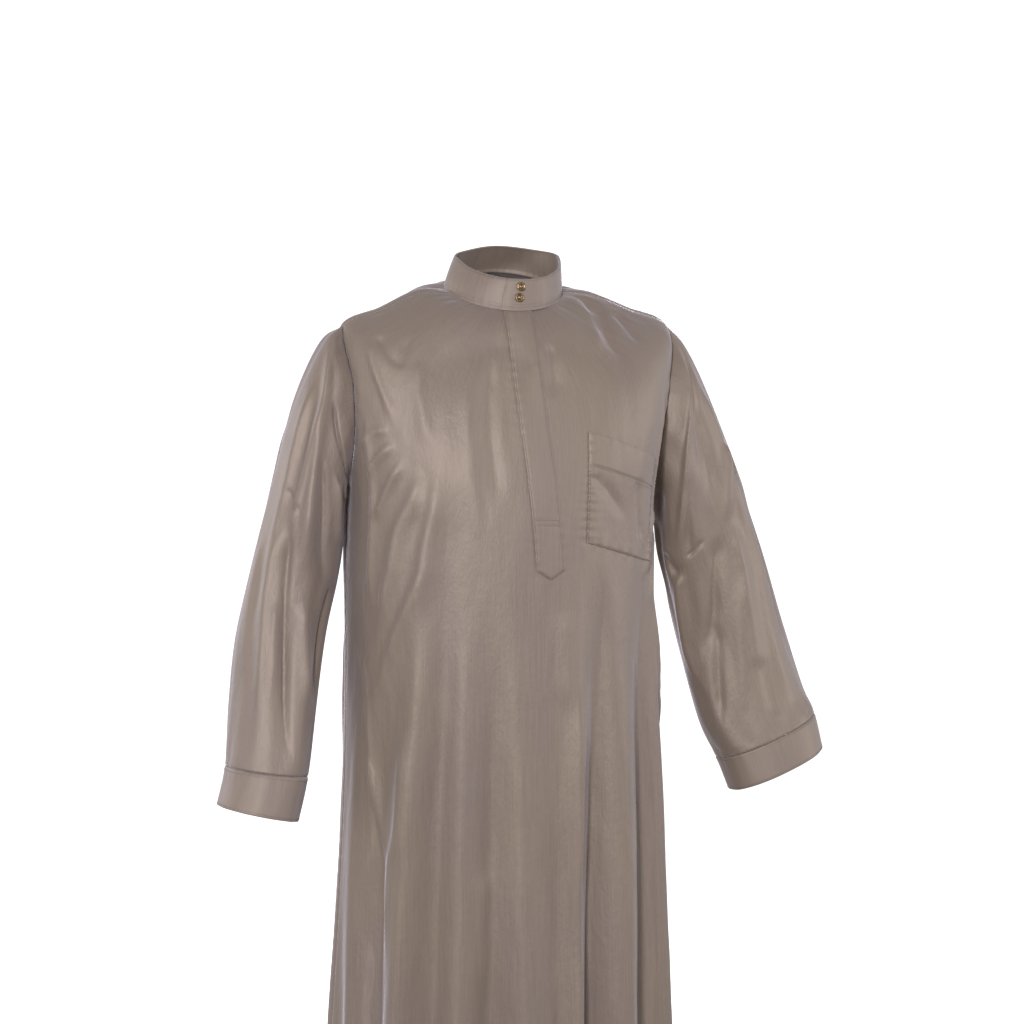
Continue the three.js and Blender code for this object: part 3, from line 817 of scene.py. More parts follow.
def sleeve_piece(name, side, lengths, thickness, turns, lift=0.0):
    turn = np.arange(SLEEVE_COLUMNS) * 360 / SLEEVE_COLUMNS * side % 360
    angle, length = np.meshgrid(turn, lengths)
    points, normal = sleeve_cloth(side, angle, length, lift)
    inward = normal.copy()
    if lengths[0] < 1:
        inward[0] = armhole_inward(side, turn)
    points = points - inward * rolled(length - lengths[0], turns[0])[..., None]
    points = points - normal * rolled(lengths[-1] - length, turns[1])[..., None]
    across = np.radians(np.arange(SLEEVE_COLUMNS) * 360 / SLEEVE_COLUMNS) * SLEEVE_RADIUS * MM
    across = np.broadcast_to(across, angle.shape)
    return cloth_mesh(name, points, across, -length * MM, thickness, looped=True)


cuff_start, cuff_end = SLEEVE_LENGTHS[CUFF_SECTION], SLEEVE_LENGTHS[WRIST_SECTION]
sleeve_lengths = np.concatenate([
    [0, 0.7, 1.6], np.linspace(3.5, cuff_start - 3, 168), [cuff_start - 1.2, cuff_start],
])
cuff_lengths = np.concatenate([
    [cuff_start, cuff_start + 0.8, cuff_start + 1.8],
    np.linspace(cuff_start + 4, cuff_end - 2, 17), [cuff_end - 0.8, cuff_end],
])
for name, side in (("right", -1), ("left", 1)):
    sleeve_piece(f"sleeve_{name}_cloth", side, sleeve_lengths, CLOTH, (SEAM_TURN, 1.3))
    sleeve_piece(f"cuff_{name}_cloth", side, cuff_lengths, CUFF_CLOTH, (1.2, 0.5), 0.3)

# %% [markdown]
# ## Collar
# The stand collar is one stiff pressed band of two layers. It starts at the edge of the tab, goes round the
# neck and ends under the tab, where the snaps hold it. Its top leans in, more at the back than at the front.

# %% Collar
COLLAR_HEIGHT = {"front": 36, "side": 40, "back": 30}
COLLAR_OVERLAP, COLLAR_GAP, COLLAR_EASE = 22, 1, 1.4
COLLAR_LEAN = {"front": 2, "side": 8, "back": 14, "left": 5}
BAND = 1.7
COLLAR_RADIUS, COLLAR_TALL = 68, 38  # turn an angle and a rise into millimetres along the cloth
TAB_LIFT = 2.7  # the tab lies over the collar's other end
TAB_ANGLE = math.degrees(math.asin(COLLAR_OVERLAP / BODY_LEVELS[0][0]))


def collar_form(angle, rise):
    neck = body_form(angle, np.zeros_like(rise))
    ahead = np.cos(np.radians(angle))
    lift = COLLAR_EASE + TAB_LIFT * (1 - smooth(angle, TAB_ANGLE + 2, TAB_ANGLE + 24))
    lean = rise * (0.6 + 0.4 * rise)
    end_height = np.where(ahead > 0, COLLAR_HEIGHT["front"], COLLAR_HEIGHT["back"])
    to_end = smooth(np.abs(ahead) / np.where(ahead > 0, 0.6, 1), 0, 1)
    height = COLLAR_HEIGHT["side"] + (end_height - COLLAR_HEIGHT["side"]) * to_end
    end_lean = np.where(ahead > 0, COLLAR_LEAN["front"], COLLAR_LEAN["back"])
    side_lift = lift - COLLAR_LEAN["side"] * lean
    return np.stack([
        neck[..., 0] + side_lift * np.sin(np.radians(angle)) + COLLAR_LEAN["left"] * lean,
        neck[..., 1] - (lift - end_lean * lean) * ahead,
        neck[..., 2] + COLLAR_GAP + height * rise,
    ], -1)


def collar_cloth(angle, rise, lift=0.0):
    normal = normals_of(collar_form, angle, rise, 0.5, -0.02)
    u = np.radians(angle) * COLLAR_RADIUS
    rise_mm = rise * COLLAR_TALL
    soft = 0.35 * waves(u, rise_mm, 90, 70, 51) + 0.3 * pucker(rise_mm - 3.5, u, 9, 5, 52)
    from_edge = np.minimum(angle + TAB_ANGLE, 360 + TAB_ANGLE - angle) * 1.2
    round_off = rolled(np.minimum(rise_mm, COLLAR_TALL - rise_mm), 0.7, 0.9) + rolled(from_edge, 0.5, 0.8)
    return collar_form(angle, rise) + normal * (soft - round_off + lift)[..., None], normal


collar_angle = -TAB_ANGLE + (360 + 2 * TAB_ANGLE) * shares(230, (0.5, 1.3), 470)
collar_rise = 1 - 1.06 * shares(20, (0.4, 1.1), COLLAR_TALL)  # its lower edge goes into the neck seam
angle, rise = np.meshgrid(collar_angle, collar_rise)
points, _ = collar_cloth(angle, rise)
cloth_mesh("collar_cloth", points, np.radians(angle) * COLLAR_RADIUS * MM, rise * COLLAR_TALL * MM, BAND)

# %% [markdown]
# ## What lies on the front
# The placket and the chest pocket are sewn flat on the front, so they have to follow every fold of it. Their
# outlines are simple when they are drawn in x and z, as seen from the front. So a place on them is looked up
# on the body, and then the front's own cloth is read there and lifted a little.

# %% Finding a place on the front


def front_place(x, z):
    """The angle and the run on the front of the body at x and z, by halving the range of levels."""
    low, high = np.zeros_like(x), np.full_like(x, float(HEM_LEVEL))
    for _ in range(26):
        level = (low + high) / 2
        s = between(BODY_LEVELS, level)
        share = np.clip((x - s[..., 8]) / s[..., 0], -0.9999, 0.9999)
        angle = np.degrees(np.arcsin(signed_power(share, s[..., 7] / 2)))
        above = body_form(angle, level)[..., 2] > z
        low, high = np.where(above, level, low), np.where(above, high, level)
    return angle, run_at(level)


def patch(name, x, z, from_edge, across, down, thickness, lift):
    """A piece on the front whose edges are pulled down to it by their stitching."""
    angle, run = front_place(x, z)
    points, _ = body_cloth(angle, run, lift - rolled(from_edge, lift - thickness - 0.2, 1.5))
    return cloth_mesh(name, points, across, down, thickness)


pocket_angle, pocket_run = front_place(*POCKET_CORNERS.T)
print("the pocket's corners lie at angles", pocket_angle.round(1), "and runs", pocket_run.round())

# %% [markdown]
# ## Placket
# The placket is a long folded band over the slit, with a pointed tab at its foot. Two bars of stitching close
# the opening above the tab. The rows and the bars press small grooves into it, which are part of its shape.

# %% Placket
PLACKET_CLOTH, PLACKET_LIFT = 0.8, 1.9
TIP_RISE = 11
GROOVE = 0.45
side_share = 2 * shares(26, (0.5, 1.3, 2.3), 35) - 1
down_share = shares(150, (0.5, 1.3), 316)
s_grid, d_grid = np.meshgrid(side_share, down_share)
bottom_z = PLACKET_TIP + TIP_RISE * np.abs(s_grid)
z = PLACKET_TOP + (bottom_z - PLACKET_TOP) * d_grid
x = opening_x(z) + PLACKET_HALF * s_grid
from_edge = np.minimum(PLACKET_HALF * (1 - np.abs(s_grid)), np.minimum(PLACKET_TOP - z, z - bottom_z))
bars = np.exp(-((z - PLACKET_BAR) / 1.5) ** 2) + np.exp(-((z - PLACKET_BAR + 6) / 1.5) ** 2)
rows = np.exp(-((PLACKET_HALF * (1 - np.abs(s_grid)) - 2) / 0.9) ** 2)
placket_lift = PLACKET_LIFT - GROOVE * (bars + rows)
patch("placket_cloth", x, z, from_edge, x * MM, z * MM, PLACKET_CLOTH, placket_lift)

# %% [markdown]
# ## Chest pocket
# The patch pocket sags open a little at its top, which is turned down 38 mm and stitched. So its middle
# stands out from the front, and its turned top is a step higher than the rest. Its top edge isn't sewn.

# %% Chest pocket
POCKET_CLOTH, POCKET_LIFT = 0.7, 1.7
POCKET_WIDE, POCKET_DEEP = 97, 133
POCKET_HEM = 38
a, b = np.meshgrid(shares(60, (0.5, 1.3, 2.3), POCKET_WIDE), shares(84, (0.5, 1.3, 2.3), POCKET_DEEP))
corner = POCKET_CORNERS[:, :, None, None]
outline = (corner[0] * (1 - a) + corner[1] * a) * (1 - b) + (corner[3] * (1 - a) + corner[2] * a) * b
from_edge = np.minimum(np.minimum(a, 1 - a) * POCKET_WIDE, (1 - b) * POCKET_DEEP)
from_top = b * POCKET_DEEP
bag = 2.2 * np.sin(np.pi * a) ** 0.8 * np.exp(-((b - 0.12) / 0.5) ** 2)
bag += 0.7 * (1 - smooth(from_top, POCKET_HEM - 1, POCKET_HEM + 1))
bag -= 0.5 * np.exp(-((from_top - POCKET_HEM - 0.5) / 1.6) ** 2)
patch("chest_pocket_cloth", outline[0], outline[1], from_edge, outline[0] * MM, outline[1] * MM,
      POCKET_CLOTH, POCKET_LIFT + bag)

# %% [markdown]
# ## Side pocket bags
# Two flat bags hang inside the front from the side seams. Only the faint line of their edges shows outside.
# They could be left out, but they can be seen from below, through the open hem. They are read from the
# front's cloth as the patches are, and pushed inwards.

# %% Side pocket bags
BAG_DEPTH = -1.9
for name, side in (("right", -1), ("left", 1)):
    angle, level = np.meshgrid(side * np.linspace(65.5, 89.7, 34), np.linspace(7.5, 9.5, 84))
    if side < 0:
        angle = angle[:, ::-1]
    run = run_at(level)
    points, _ = body_cloth(angle, run, BAG_DEPTH)
    cloth_mesh(f"side_pocket_{name}_cloth", points, np.radians(angle) * GIRTH_RADIUS * MM, -run * MM, CLOTH)

# %% [markdown]
# ## Snaps
# A sprung snap shows a small metal cap: a rolled rim, a sunken ring and a low dome. It is turned from its
# profile, as on a lathe.

# %% Snaps
SNAP_PROFILE = [
    (5.5, 0.0), (5.5, 0.8), (5.35, 1.15), (5.0, 1.55), (4.6, 1.8), (4.2, 1.9), (3.8, 1.78), (3.4, 1.5),
    (3.0, 1.1), (2.7, 0.8), (2.4, 0.7), (2.1, 0.7), (1.85, 0.95), (1.6, 1.2), (1.2, 1.4), (0.8, 1.5),
    (0.4, 1.58),
]
SNAP_ANGLE, SNAP_GAP = -2.7, 0.5
SNAP_SPANS = 48


def snap(name, rise):
    place, normal = collar_cloth(np.array([SNAP_ANGLE]), np.array([rise]))
    turn = Vector((0, 0, 1)).rotation_difference(Vector(normal[0]))
    mesh = bpy.data.meshes.new(name)
    built = bmesh.new()
    rings = []
    for radius, height in SNAP_PROFILE:
        ring = []
        for k in range(SNAP_SPANS):
            around = 2 * math.pi * k / SNAP_SPANS
            local = Vector((radius * math.cos(around), radius * math.sin(around), height + SNAP_GAP))
            ring.append(built.verts.new((turn @ local + Vector(place[0])) * MM))
        rings.append(ring)
    for lower, upper in zip(rings[:-1], rings[1:]):
        for k in range(SNAP_SPANS):
            after = (k + 1) % SNAP_SPANS
            built.faces.new((lower[k], lower[after], upper[after], upper[k]))
    built.faces.new(rings[-1])
    built.faces.new(rings[0][::-1])
    for face in built.faces:
        face.smooth = len(face.verts) == 4
    built.to_mesh(mesh)
    built.free()
    piece = bpy.data.objects.new(name, mesh)
    bpy.context.scene.collection.objects.link(piece)
    PARTS[name] = piece
    print(f"{name}: {len(mesh.polygons)} faces")


snap("snap_upper_cap", 0.74)
snap("snap_lower_cap", 0.38)

# %% [markdown]
# ## Rows of stitching
# A sewing machine leaves a row of short raised stitches, about eight to the inch. They could be modelled one
# by one, but a row only needs its line. Here each line gives one point for each stitch, with the direction
# along the row and the direction out of the cloth, and Geometry Nodes put a small bead of thread on each.

# %% One row of stitches
STITCH_PITCH = 3.1
stitch_points, stitch_along, stitch_outward = [], [], []


def stitch_line(points, outward, lift=0.12):
    """One row of stitches along points in millimetres, which are close together."""
    steps = np.linalg.norm(np.diff(points, axis=0), axis=1)
    run = np.concatenate([[0], np.cumsum(steps)])
    at = np.arange(STITCH_PITCH / 2, run[-1], STITCH_PITCH)
    place = np.stack([np.interp(at, run, points[:, k]) for k in range(3)], -1)
    out = np.stack([np.interp(at, run, outward[:, k]) for k in range(3)], -1)
    ahead = np.stack([np.interp(at + 0.8, run, points[:, k]) for k in range(3)], -1) - place
    behind = place - np.stack([np.interp(at - 0.8, run, points[:, k]) for k in range(3)], -1)
    stitch_points.extend((place + out * lift) * MM)
    stitch_along.extend(ahead + behind)
    stitch_outward.extend(out)


def on_front(line, lift, count=240):
    """A row on the front, along a line drawn in x and z."""
    line = np.asarray(line, float)
    steps = np.concatenate([[0], np.cumsum(np.linalg.norm(np.diff(line, axis=0), axis=1))])
    at = np.linspace(0, steps[-1], count)
    angle, run = front_place(np.interp(at, steps, line[:, 0]), np.interp(at, steps, line[:, 1]))
    stitch_line(*body_cloth(angle, run, lift))


def inset(corners, amount):
    """The pocket's corners moved in from its edges."""
    corners = np.asarray(corners, float)
    moves = np.array([(1, -1), (-1, -1), (-1, 1), (1, 1)]) * amount
    return corners + moves


print("one stitch every", STITCH_PITCH, "mm")

# %% [markdown]
# ## Stitching on the placket and the pocket
# The placket has a row along each edge, two bars and a pointed row at its foot. The pocket has one row down
# one side, along the bottom and up the other, and one across where its top is turned down.

# %% Rows on the front
for edge in (-1, 1):
    z = np.linspace(PLACKET_TOP - 2, PLACKET_TIP + TIP_RISE, 90)
    on_front(np.stack([opening_x(z) + edge * (PLACKET_HALF - 2), z], -1), PLACKET_LIFT)
tip_x = opening_x(PLACKET_TIP)
tip_row = [(tip_x - 15.5, PLACKET_TIP + 12), (tip_x, PLACKET_TIP + 2), (tip_x + 15.5, PLACKET_TIP + 12)]
on_front(tip_row, PLACKET_LIFT)
for z in (PLACKET_BAR, PLACKET_BAR - 6):
    middle = opening_x(z)
    on_front([(middle - 15, z), (middle + 15, z)], PLACKET_LIFT, 60)
near_top, far_top, far_bottom, near_bottom = inset(POCKET_CORNERS, 1.8)
on_front([near_top, near_bottom, far_bottom, far_top], POCKET_LIFT, 500)
on_front([near_top + (0, -POCKET_HEM), far_top + (-0.5, -POCKET_HEM)], POCKET_LIFT + 2.2, 120)
print(len(stitch_points), "stitches on the front")

# %% [markdown]
# ## Stitching on the armholes, cuffs, collar and hem
# The armholes are topstitched about 7 mm inside the body, where the seam lies under the cloth. The cuffs
# have a row at each end, and the collar has two at its foot, one under its top and one on the tab. The hem
# has one row all round, and each shoulder seam has one on its front side.

# %% Rows round the openings
ARMHOLE_INSET = 2.6  # degrees
for side in (-1, 1):
    for is_front in (True, False):
        run = np.linspace(150, 285, 160)
        edge = armhole_angle(np.array(is_front), level_at(run))
        inside = edge - ARMHOLE_INSET if is_front else edge + ARMHOLE_INSET
        angle = side * inside if (side > 0 or is_front) else 360 - inside
        stitch_line(*body_cloth(angle, run))
    turn = np.linspace(0, 360, 500) * side % 360
    for length in (cuff_start + 3.5, cuff_end - 3):
        stitch_line(*sleeve_cloth(side, turn, np.full(500, float(length)), 0.5))
for rise_mm in (2.4, 5.6, COLLAR_TALL - 2.6):
    angle = np.linspace(-TAB_ANGLE + 2, 360 - TAB_ANGLE - 3, 700)
    stitch_line(*collar_cloth(angle, np.full(700, rise_mm / COLLAR_TALL)))
stitch_line(*collar_cloth(np.full(40, -TAB_ANGLE + 1.8), np.linspace(0.06, 0.94, 40)))
HEM_ROW = 1387.0
hem_angle = np.linspace(-88, 88, 500)
for middle in (0, 180):
    stitch_line(*body_cloth(hem_angle + middle, np.full(500, HEM_ROW)))
for side in (-1, 1):
    run = np.linspace(6, 144, 100)
    stitch_line(*body_cloth(side * (armhole_angle(np.array(True), level_at(run)) - 1.6), run))
print(len(stitch_points), "stitches in all")

# %% [markdown]
# ## A tree that sews
# The Geometry Nodes tree turns every point into one bead of thread. Its inputs are the bead's sizes, how
# uneven the stitches are, a seed and the thread's material, so the same tree could sew any other garment.

# %% Inputs of the tree
tree = bpy.data.node_groups.new("row of stitches", "GeometryNodeTree")
for name, kind, start in (("Geometry", "NodeSocketGeometry", None), ("Length", "NodeSocketFloat", 0.0023),
                          ("Width", "NodeSocketFloat", 0.00055), ("Rise", "NodeSocketFloat", 0.0004),
                          ("Unevenness", "NodeSocketFloat", 0.12), ("Seed", "NodeSocketInt", 7),
                          ("Thread", "NodeSocketMaterial", None)):
    socket = tree.interface.new_socket(name, in_out="INPUT", socket_type=kind)
    if start is not None:
        socket.default_value = start
tree.interface.new_socket("Geometry", in_out="OUTPUT", socket_type="NodeSocketGeometry")


print("inputs:", [item.name for item in tree.interface.items_tree if item.in_out == "INPUT"])

# %% [markdown]
# ## The bead
# A bead is a small sphere, stretched to the length, width and rise of a stitch. It could have a twisted
# thread's shape, but at half a millimetre wide a smooth bead with a twisted bump looks the same.

# %% The bead of thread


def add_node(kind, **settings):
    made = tree.nodes.new(kind)
    for key, value in settings.items():
        setattr(made, key, value)
    return made


def link(output, target):
    tree.links.new(output, target)


given = add_node("NodeGroupInput")
bead = add_node("GeometryNodeMeshUVSphere")
bead.inputs["Segments"].default_value = 7
bead.inputs["Rings"].default_value = 5
bead.inputs["Radius"].default_value = 0.5
sizes = add_node("ShaderNodeCombineXYZ")
for name, socket in (("Length", "X"), ("Width", "Y"), ("Rise", "Z")):
    link(given.outputs[name], sizes.inputs[socket])
sized = add_node("GeometryNodeTransform")
link(bead.outputs["Mesh"], sized.inputs["Geometry"])
link(sizes.outputs[0], sized.inputs["Scale"])
print(len(tree.nodes), "nodes for the bead")

# %% [markdown]
# ## Laying the beads
# Each bead is turned twice: first to lie along its row, and then about that line to stand out from the cloth.
# A small random change of size keeps the row from looking printed. Realize Instances turns the copies into
# real faces, and Set Material dyes them.

# %% Laying the beads
along = add_node("GeometryNodeInputNamedAttribute", data_type="FLOAT_VECTOR")
along.inputs["Name"].default_value = "along"
outward = add_node("GeometryNodeInputNamedAttribute", data_type="FLOAT_VECTOR")
outward.inputs["Name"].default_value = "outward"
lie = add_node("FunctionNodeAlignRotationToVector", axis="X")
link(along.outputs["Attribute"], lie.inputs["Vector"])
face = add_node("FunctionNodeAlignRotationToVector", axis="Z", pivot_axis="X")
link(lie.outputs["Rotation"], face.inputs["Rotation"])
link(outward.outputs["Attribute"], face.inputs["Vector"])
least = add_node("ShaderNodeMath", operation="SUBTRACT")
least.inputs[0].default_value = 1
link(given.outputs["Unevenness"], least.inputs[1])
uneven = add_node("FunctionNodeRandomValue", data_type="FLOAT")
link(least.outputs[0], uneven.inputs[2])
uneven.inputs[3].default_value = 1
link(given.outputs["Seed"], uneven.inputs["Seed"])
dots = add_node("GeometryNodeMeshToPoints")
link(given.outputs["Geometry"], dots.inputs["Mesh"])
beads = add_node("GeometryNodeInstanceOnPoints")
link(dots.outputs["Points"], beads.inputs["Points"])
link(sized.outputs["Geometry"], beads.inputs["Instance"])
link(face.outputs["Rotation"], beads.inputs["Rotation"])
link(uneven.outputs[1], beads.inputs["Scale"])
real = add_node("GeometryNodeRealizeInstances")
link(beads.outputs["Instances"], real.inputs["Geometry"])
coloured = add_node("GeometryNodeSetMaterial")
link(real.outputs["Geometry"], coloured.inputs["Geometry"])
link(given.outputs["Thread"], coloured.inputs["Material"])
result = add_node("NodeGroupOutput")
link(coloured.outputs["Geometry"], result.inputs["Geometry"])
print(len(tree.nodes), "nodes in the tree")

# %% [markdown]
# ## Stitching as one mesh
# The points of all the rows go into one mesh, with the two directions as attributes. The modifier's result is
# then kept as a plain mesh, because the robe is finished and nothing about the stitches will change.

# %% Stitching as one mesh
thread = bpy.data.materials.new("thread")
seed_mesh = bpy.data.meshes.new("stitching")
seed_mesh.from_pydata([tuple(p) for p in stitch_points], [], [])
for name, values in (("along", stitch_along), ("outward", stitch_outward)):
    layer = seed_mesh.attributes.new(name, "FLOAT_VECTOR", "POINT")
    layer.data.foreach_set("vector", np.asarray(values, np.float32).ravel())
stitching = bpy.data.objects.new("stitching", seed_mesh)
bpy.context.scene.collection.objects.link(stitching)
maker = stitching.modifiers.new("stitches", "NODES")
maker.node_group = tree
sockets = {item.name: item.identifier for item in tree.interface.items_tree if item.in_out == "INPUT"}
maker[sockets["Thread"]] = thread
maker[sockets["Seed"]] = 7
evaluated = stitching.evaluated_get(bpy.context.evaluated_depsgraph_get())
stitching.data = bpy.data.meshes.new_from_object(evaluated)
stitching.modifiers.clear()
print("stitching:", len(stitching.data.polygons), "faces")

# %% [markdown]
# ## Materials in code
# A material is a small tree of nodes. Building one in code takes many lines that look alike, so two helpers
# do it: one adds a node with its inputs and links, and one makes noise that is stretched along an axis.

# %% Node helpers


def material_nodes(name):
    """A material, its shader, and a function that adds a node with its inputs and links."""
    material = bpy.data.materials.get(name) or bpy.data.materials.new(name)
    material.use_nodes = True
    nodes, links = material.node_tree.nodes, material.node_tree.links

    def add(kind, inputs=(), **settings):
        made = nodes.new(kind)
        for key, value in settings.items():
            setattr(made, key, value)
        for key, value in dict(inputs).items():
            if isinstance(value, bpy.types.NodeSocket):
                links.new(value, made.inputs[key])
            else:
                made.inputs[key].default_value = value
        return made

    def connect(output, target):
        links.new(output, target)

    return material, nodes["Principled BSDF"], add, connect


def stretched_noise(add, coordinates, scale, detail=2.0, rough=0.5):
    """Noise whose grains are stretched by different scales along each axis."""
    spread = add("ShaderNodeVectorMath", {0: coordinates, 1: scale}, operation="MULTIPLY")
    return add("ShaderNodeTexNoise", {"Vector": spread.outputs[0], "Scale": 1.0, "Detail": detail,
                                      "Roughness": rough})


# %% [markdown]
# ## Satin
# Satin is woven so that long floats of shiny thread lie side by side. Seen straight on it shows its own warm
# colour, and at a slant it shows a cool sheen. A picture of cloth could be wrapped on, but nodes keep the
# weave sharp at any distance. The fine weave and the streaks of the thread use the UV map, which is in
# metres, and the soft unevenness of worn cloth uses Object coordinates.

# %% Satin
SATIN_WARM = (0.275, 0.212, 0.168)
SATIN_COOL = (0.258, 0.198, 0.173)
SATIN_SHEEN = (0.86, 0.80, 0.92)


def satin(name, shade, roughness, crumple):
    """A satin finish. shade multiplies its colour, and crumple sets how uneven the cloth is."""
    material, shader, add, connect = material_nodes(name)
    uv = add("ShaderNodeUVMap", uv_map="cloth").outputs["UV"]
    place = add("ShaderNodeTexCoord").outputs["Object"]
    streaks = stretched_noise(add, uv, (900, 14, 1), 3.0, 0.6)
    patches = stretched_noise(add, place, (9, 9, 3.5), 3.0)
    swell = stretched_noise(add, place, (34, 34, 7), 2.0, 0.5)
    warp = add("ShaderNodeTexWave", {"Vector": uv, "Scale": 420.0, "Distortion": 0.4, "Detail": 1.0},
               bands_direction="X")
    weft = add("ShaderNodeTexWave", {"Vector": uv, "Scale": 330.0, "Distortion": 0.4, "Detail": 1.0},
               bands_direction="Y")
    tone = add("ShaderNodeMapRange", {"Value": patches.outputs["Fac"], "From Min": 0.35, "From Max": 0.65})
    cloth_colour = add("ShaderNodeMix", data_type="RGBA")
    connect(tone.outputs["Result"], cloth_colour.inputs[0])
    cloth_colour.inputs[6].default_value = (*[c * shade for c in SATIN_WARM], 1)
    cloth_colour.inputs[7].default_value = (*[c * shade for c in SATIN_COOL], 1)
    streak_tone = add("ShaderNodeMapRange", {
        "Value": streaks.outputs["Fac"], "From Min": 0.3, "From Max": 0.7, "To Min": 0.92, "To Max": 1.08})
    streaked = add("ShaderNodeVectorMath", {0: cloth_colour.outputs[2], 1: streak_tone.outputs["Result"]},
                   operation="MULTIPLY")
    connect(streaked.outputs[0], shader.inputs["Base Color"])
    gloss = add("ShaderNodeMapRange", {
        "Value": streaks.outputs["Fac"], "From Min": 0.3, "From Max": 0.7,
        "To Min": roughness - 0.04, "To Max": roughness + 0.05})
    connect(gloss.outputs["Result"], shader.inputs["Roughness"])
    # Each Bump node passes its normal on to the next, from the broadest unevenness to the weave.
    threads = add("ShaderNodeMath", {0: warp.outputs["Fac"], 1: weft.outputs["Fac"]}, operation="ADD")
    soft = add("ShaderNodeBump", {
        "Height": swell.outputs["Fac"], "Distance": 0.001 * crumple, "Strength": 1.0})
    crinkle = stretched_noise(add, place, (90, 90, 38), 3.0, 0.8)
    fine = add("ShaderNodeBump", {
        "Height": crinkle.outputs["Fac"], "Distance": 0.0008 * crumple, "Strength": 1.0,
        "Normal": soft.outputs["Normal"]})
    grain = add("ShaderNodeBump", {
        "Height": streaks.outputs["Fac"], "Distance": 0.00012, "Strength": 0.7,
        "Normal": fine.outputs["Normal"]})
    weave = add("ShaderNodeBump", {
        "Height": threads.outputs[0], "Distance": 0.00003, "Strength": 0.5,
        "Normal": grain.outputs["Normal"]})
    connect(weave.outputs["Normal"], shader.inputs["Normal"])
    shader.inputs["Sheen Weight"].default_value = 0.7
    shader.inputs["Sheen Roughness"].default_value = 0.4
    shader.inputs["Sheen Tint"].default_value = (*SATIN_SHEEN, 1)
    shader.inputs["Specular IOR Level"].default_value = 0.7
    shader.inputs["Anisotropic"].default_value = 0.4
    shader.inputs["Metallic"].default_value = 0.28
    return material


loose_satin = satin("satin", 1.0, 0.54, 1.0)
pressed_satin = satin("pressed_satin", 1.0, 0.56, 0.4)
print("satin has", len(loose_satin.node_tree.nodes), "nodes")

# %% [markdown]
# ## Thread
# The thread is dyed to match, a little darker than the cloth. Its plies are far too thin to model, so a
# slanting wave gives them as a bump.

# %% Thread
THREAD_COLOUR = (0.175, 0.145, 0.125)
_, shader, add, connect = material_nodes("thread")
place = add("ShaderNodeTexCoord").outputs["Object"]
twist = add("ShaderNodeTexWave", {"Vector": place, "Scale": 900.0, "Distortion": 1.0},
            bands_direction="DIAGONAL")
shade = add("ShaderNodeMapRange", {"Value": twist.outputs["Fac"], "To Min": 0.8, "To Max": 1.0})
dyed = add("ShaderNodeVectorMath", {0: THREAD_COLOUR, 1: shade.outputs["Result"]}, operation="MULTIPLY")
connect(dyed.outputs[0], shader.inputs["Base Color"])
plied = add("ShaderNodeBump", {"Height": twist.outputs["Fac"], "Distance": 0.0001, "Strength": 0.5})
connect(plied.outputs["Normal"], shader.inputs["Normal"])
shader.inputs["Roughness"].default_value = 0.5
shader.inputs["Sheen Weight"].default_value = 0.2
print("thread has", len(thread.node_tree.nodes), "nodes")

# %% [markdown]
# ## Antique brass
# The snap caps are brass that was darkened and then rubbed, so that the high rims are bright and the hollows
# stay brown. A shader doesn't know which places are high, but fine noise gives much the same worn look on so
# small a part.

# %% Antique brass
antique_brass, shader, add, connect = material_nodes("antique_brass")
place = add("ShaderNodeTexCoord").outputs["Object"]
wear = stretched_noise(add, place, (700, 700, 700), 3.0, 0.6)
rubbed = add("ShaderNodeMapRange", {"Value": wear.outputs["Fac"], "From Min": 0.4, "From Max": 0.62})
metal = add("ShaderNodeMix", data_type="RGBA")
connect(rubbed.outputs["Result"], metal.inputs[0])
metal.inputs[6].default_value = (0.16, 0.10, 0.055, 1)
metal.inputs[7].default_value = (0.50, 0.36, 0.22, 1)
connect(metal.outputs[2], shader.inputs["Base Color"])
dull = add("ShaderNodeMapRange", {"Value": wear.outputs["Fac"], "To Min": 0.28, "To Max": 0.5})
connect(dull.outputs["Result"], shader.inputs["Roughness"])
pits = add("ShaderNodeBump", {"Height": wear.outputs["Fac"], "Distance": 0.0001, "Strength": 0.4})
connect(pits.outputs["Normal"], shader.inputs["Normal"])
shader.inputs["Metallic"].default_value = 1.0
print("antique brass has", len(antique_brass.node_tree.nodes), "nodes")

# %% [markdown]
# ## Each piece in its place
# Each piece takes over from one wall of the plain model: it moves with the same body, hides that wall and
# takes its finish.

# %% Pieces and their cut
# node: finish, flat width, flat length, flat area of the cut
CUTS = {
    "front_panel": ("satin", 0.68, 1.42, 0.81),
    "back_panel": ("satin", 0.68, 1.49, 0.79),
    "sleeve_right": ("satin", 0.44, 0.55, 0.20),
    "sleeve_left": ("satin", 0.46, 0.55, 0.21),
    "cuff_right": ("pressed_satin", 0.33, 0.06, 0.0175),
    "cuff_left": ("pressed_satin", 0.36, 0.06, 0.0175),
    "collar": ("pressed_satin", 0.48, 0.043, 0.0186),
    "placket": ("pressed_satin", 0.037, 0.32, 0.0112),
    "chest_pocket": ("satin", 0.115, 0.15, 0.0148),
    "side_pocket_right": ("satin", 0.09, 0.29, 0.024),
    "side_pocket_left": ("satin", 0.09, 0.29, 0.024),
}
for node, (finish, width, length, area) in CUTS.items():
    piece = PARTS[f"{node}_cloth"]
    piece.data.materials.append(loose_satin if finish == "satin" else pressed_satin)
    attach(piece, "root")
    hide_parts(node)
for node in ("snap_upper", "snap_lower"):
    piece = PARTS[f"{node}_cap"]
    piece.data.materials.append(antique_brass)
    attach(piece, "root")
    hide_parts(node)
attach(stitching, "root")
print(len(PARTS) + 1, "pieces")

# %% [markdown]
# ## Camera
# The camera stands a little to the wearer's right of the robe's front, level with the chest, and looks at
# a point just inside the cloth. An 85 mm lens from almost three metres keeps the long robe from bulging.
# Aiming by a direction vector, rather than by three typed angles, keeps the camera level.

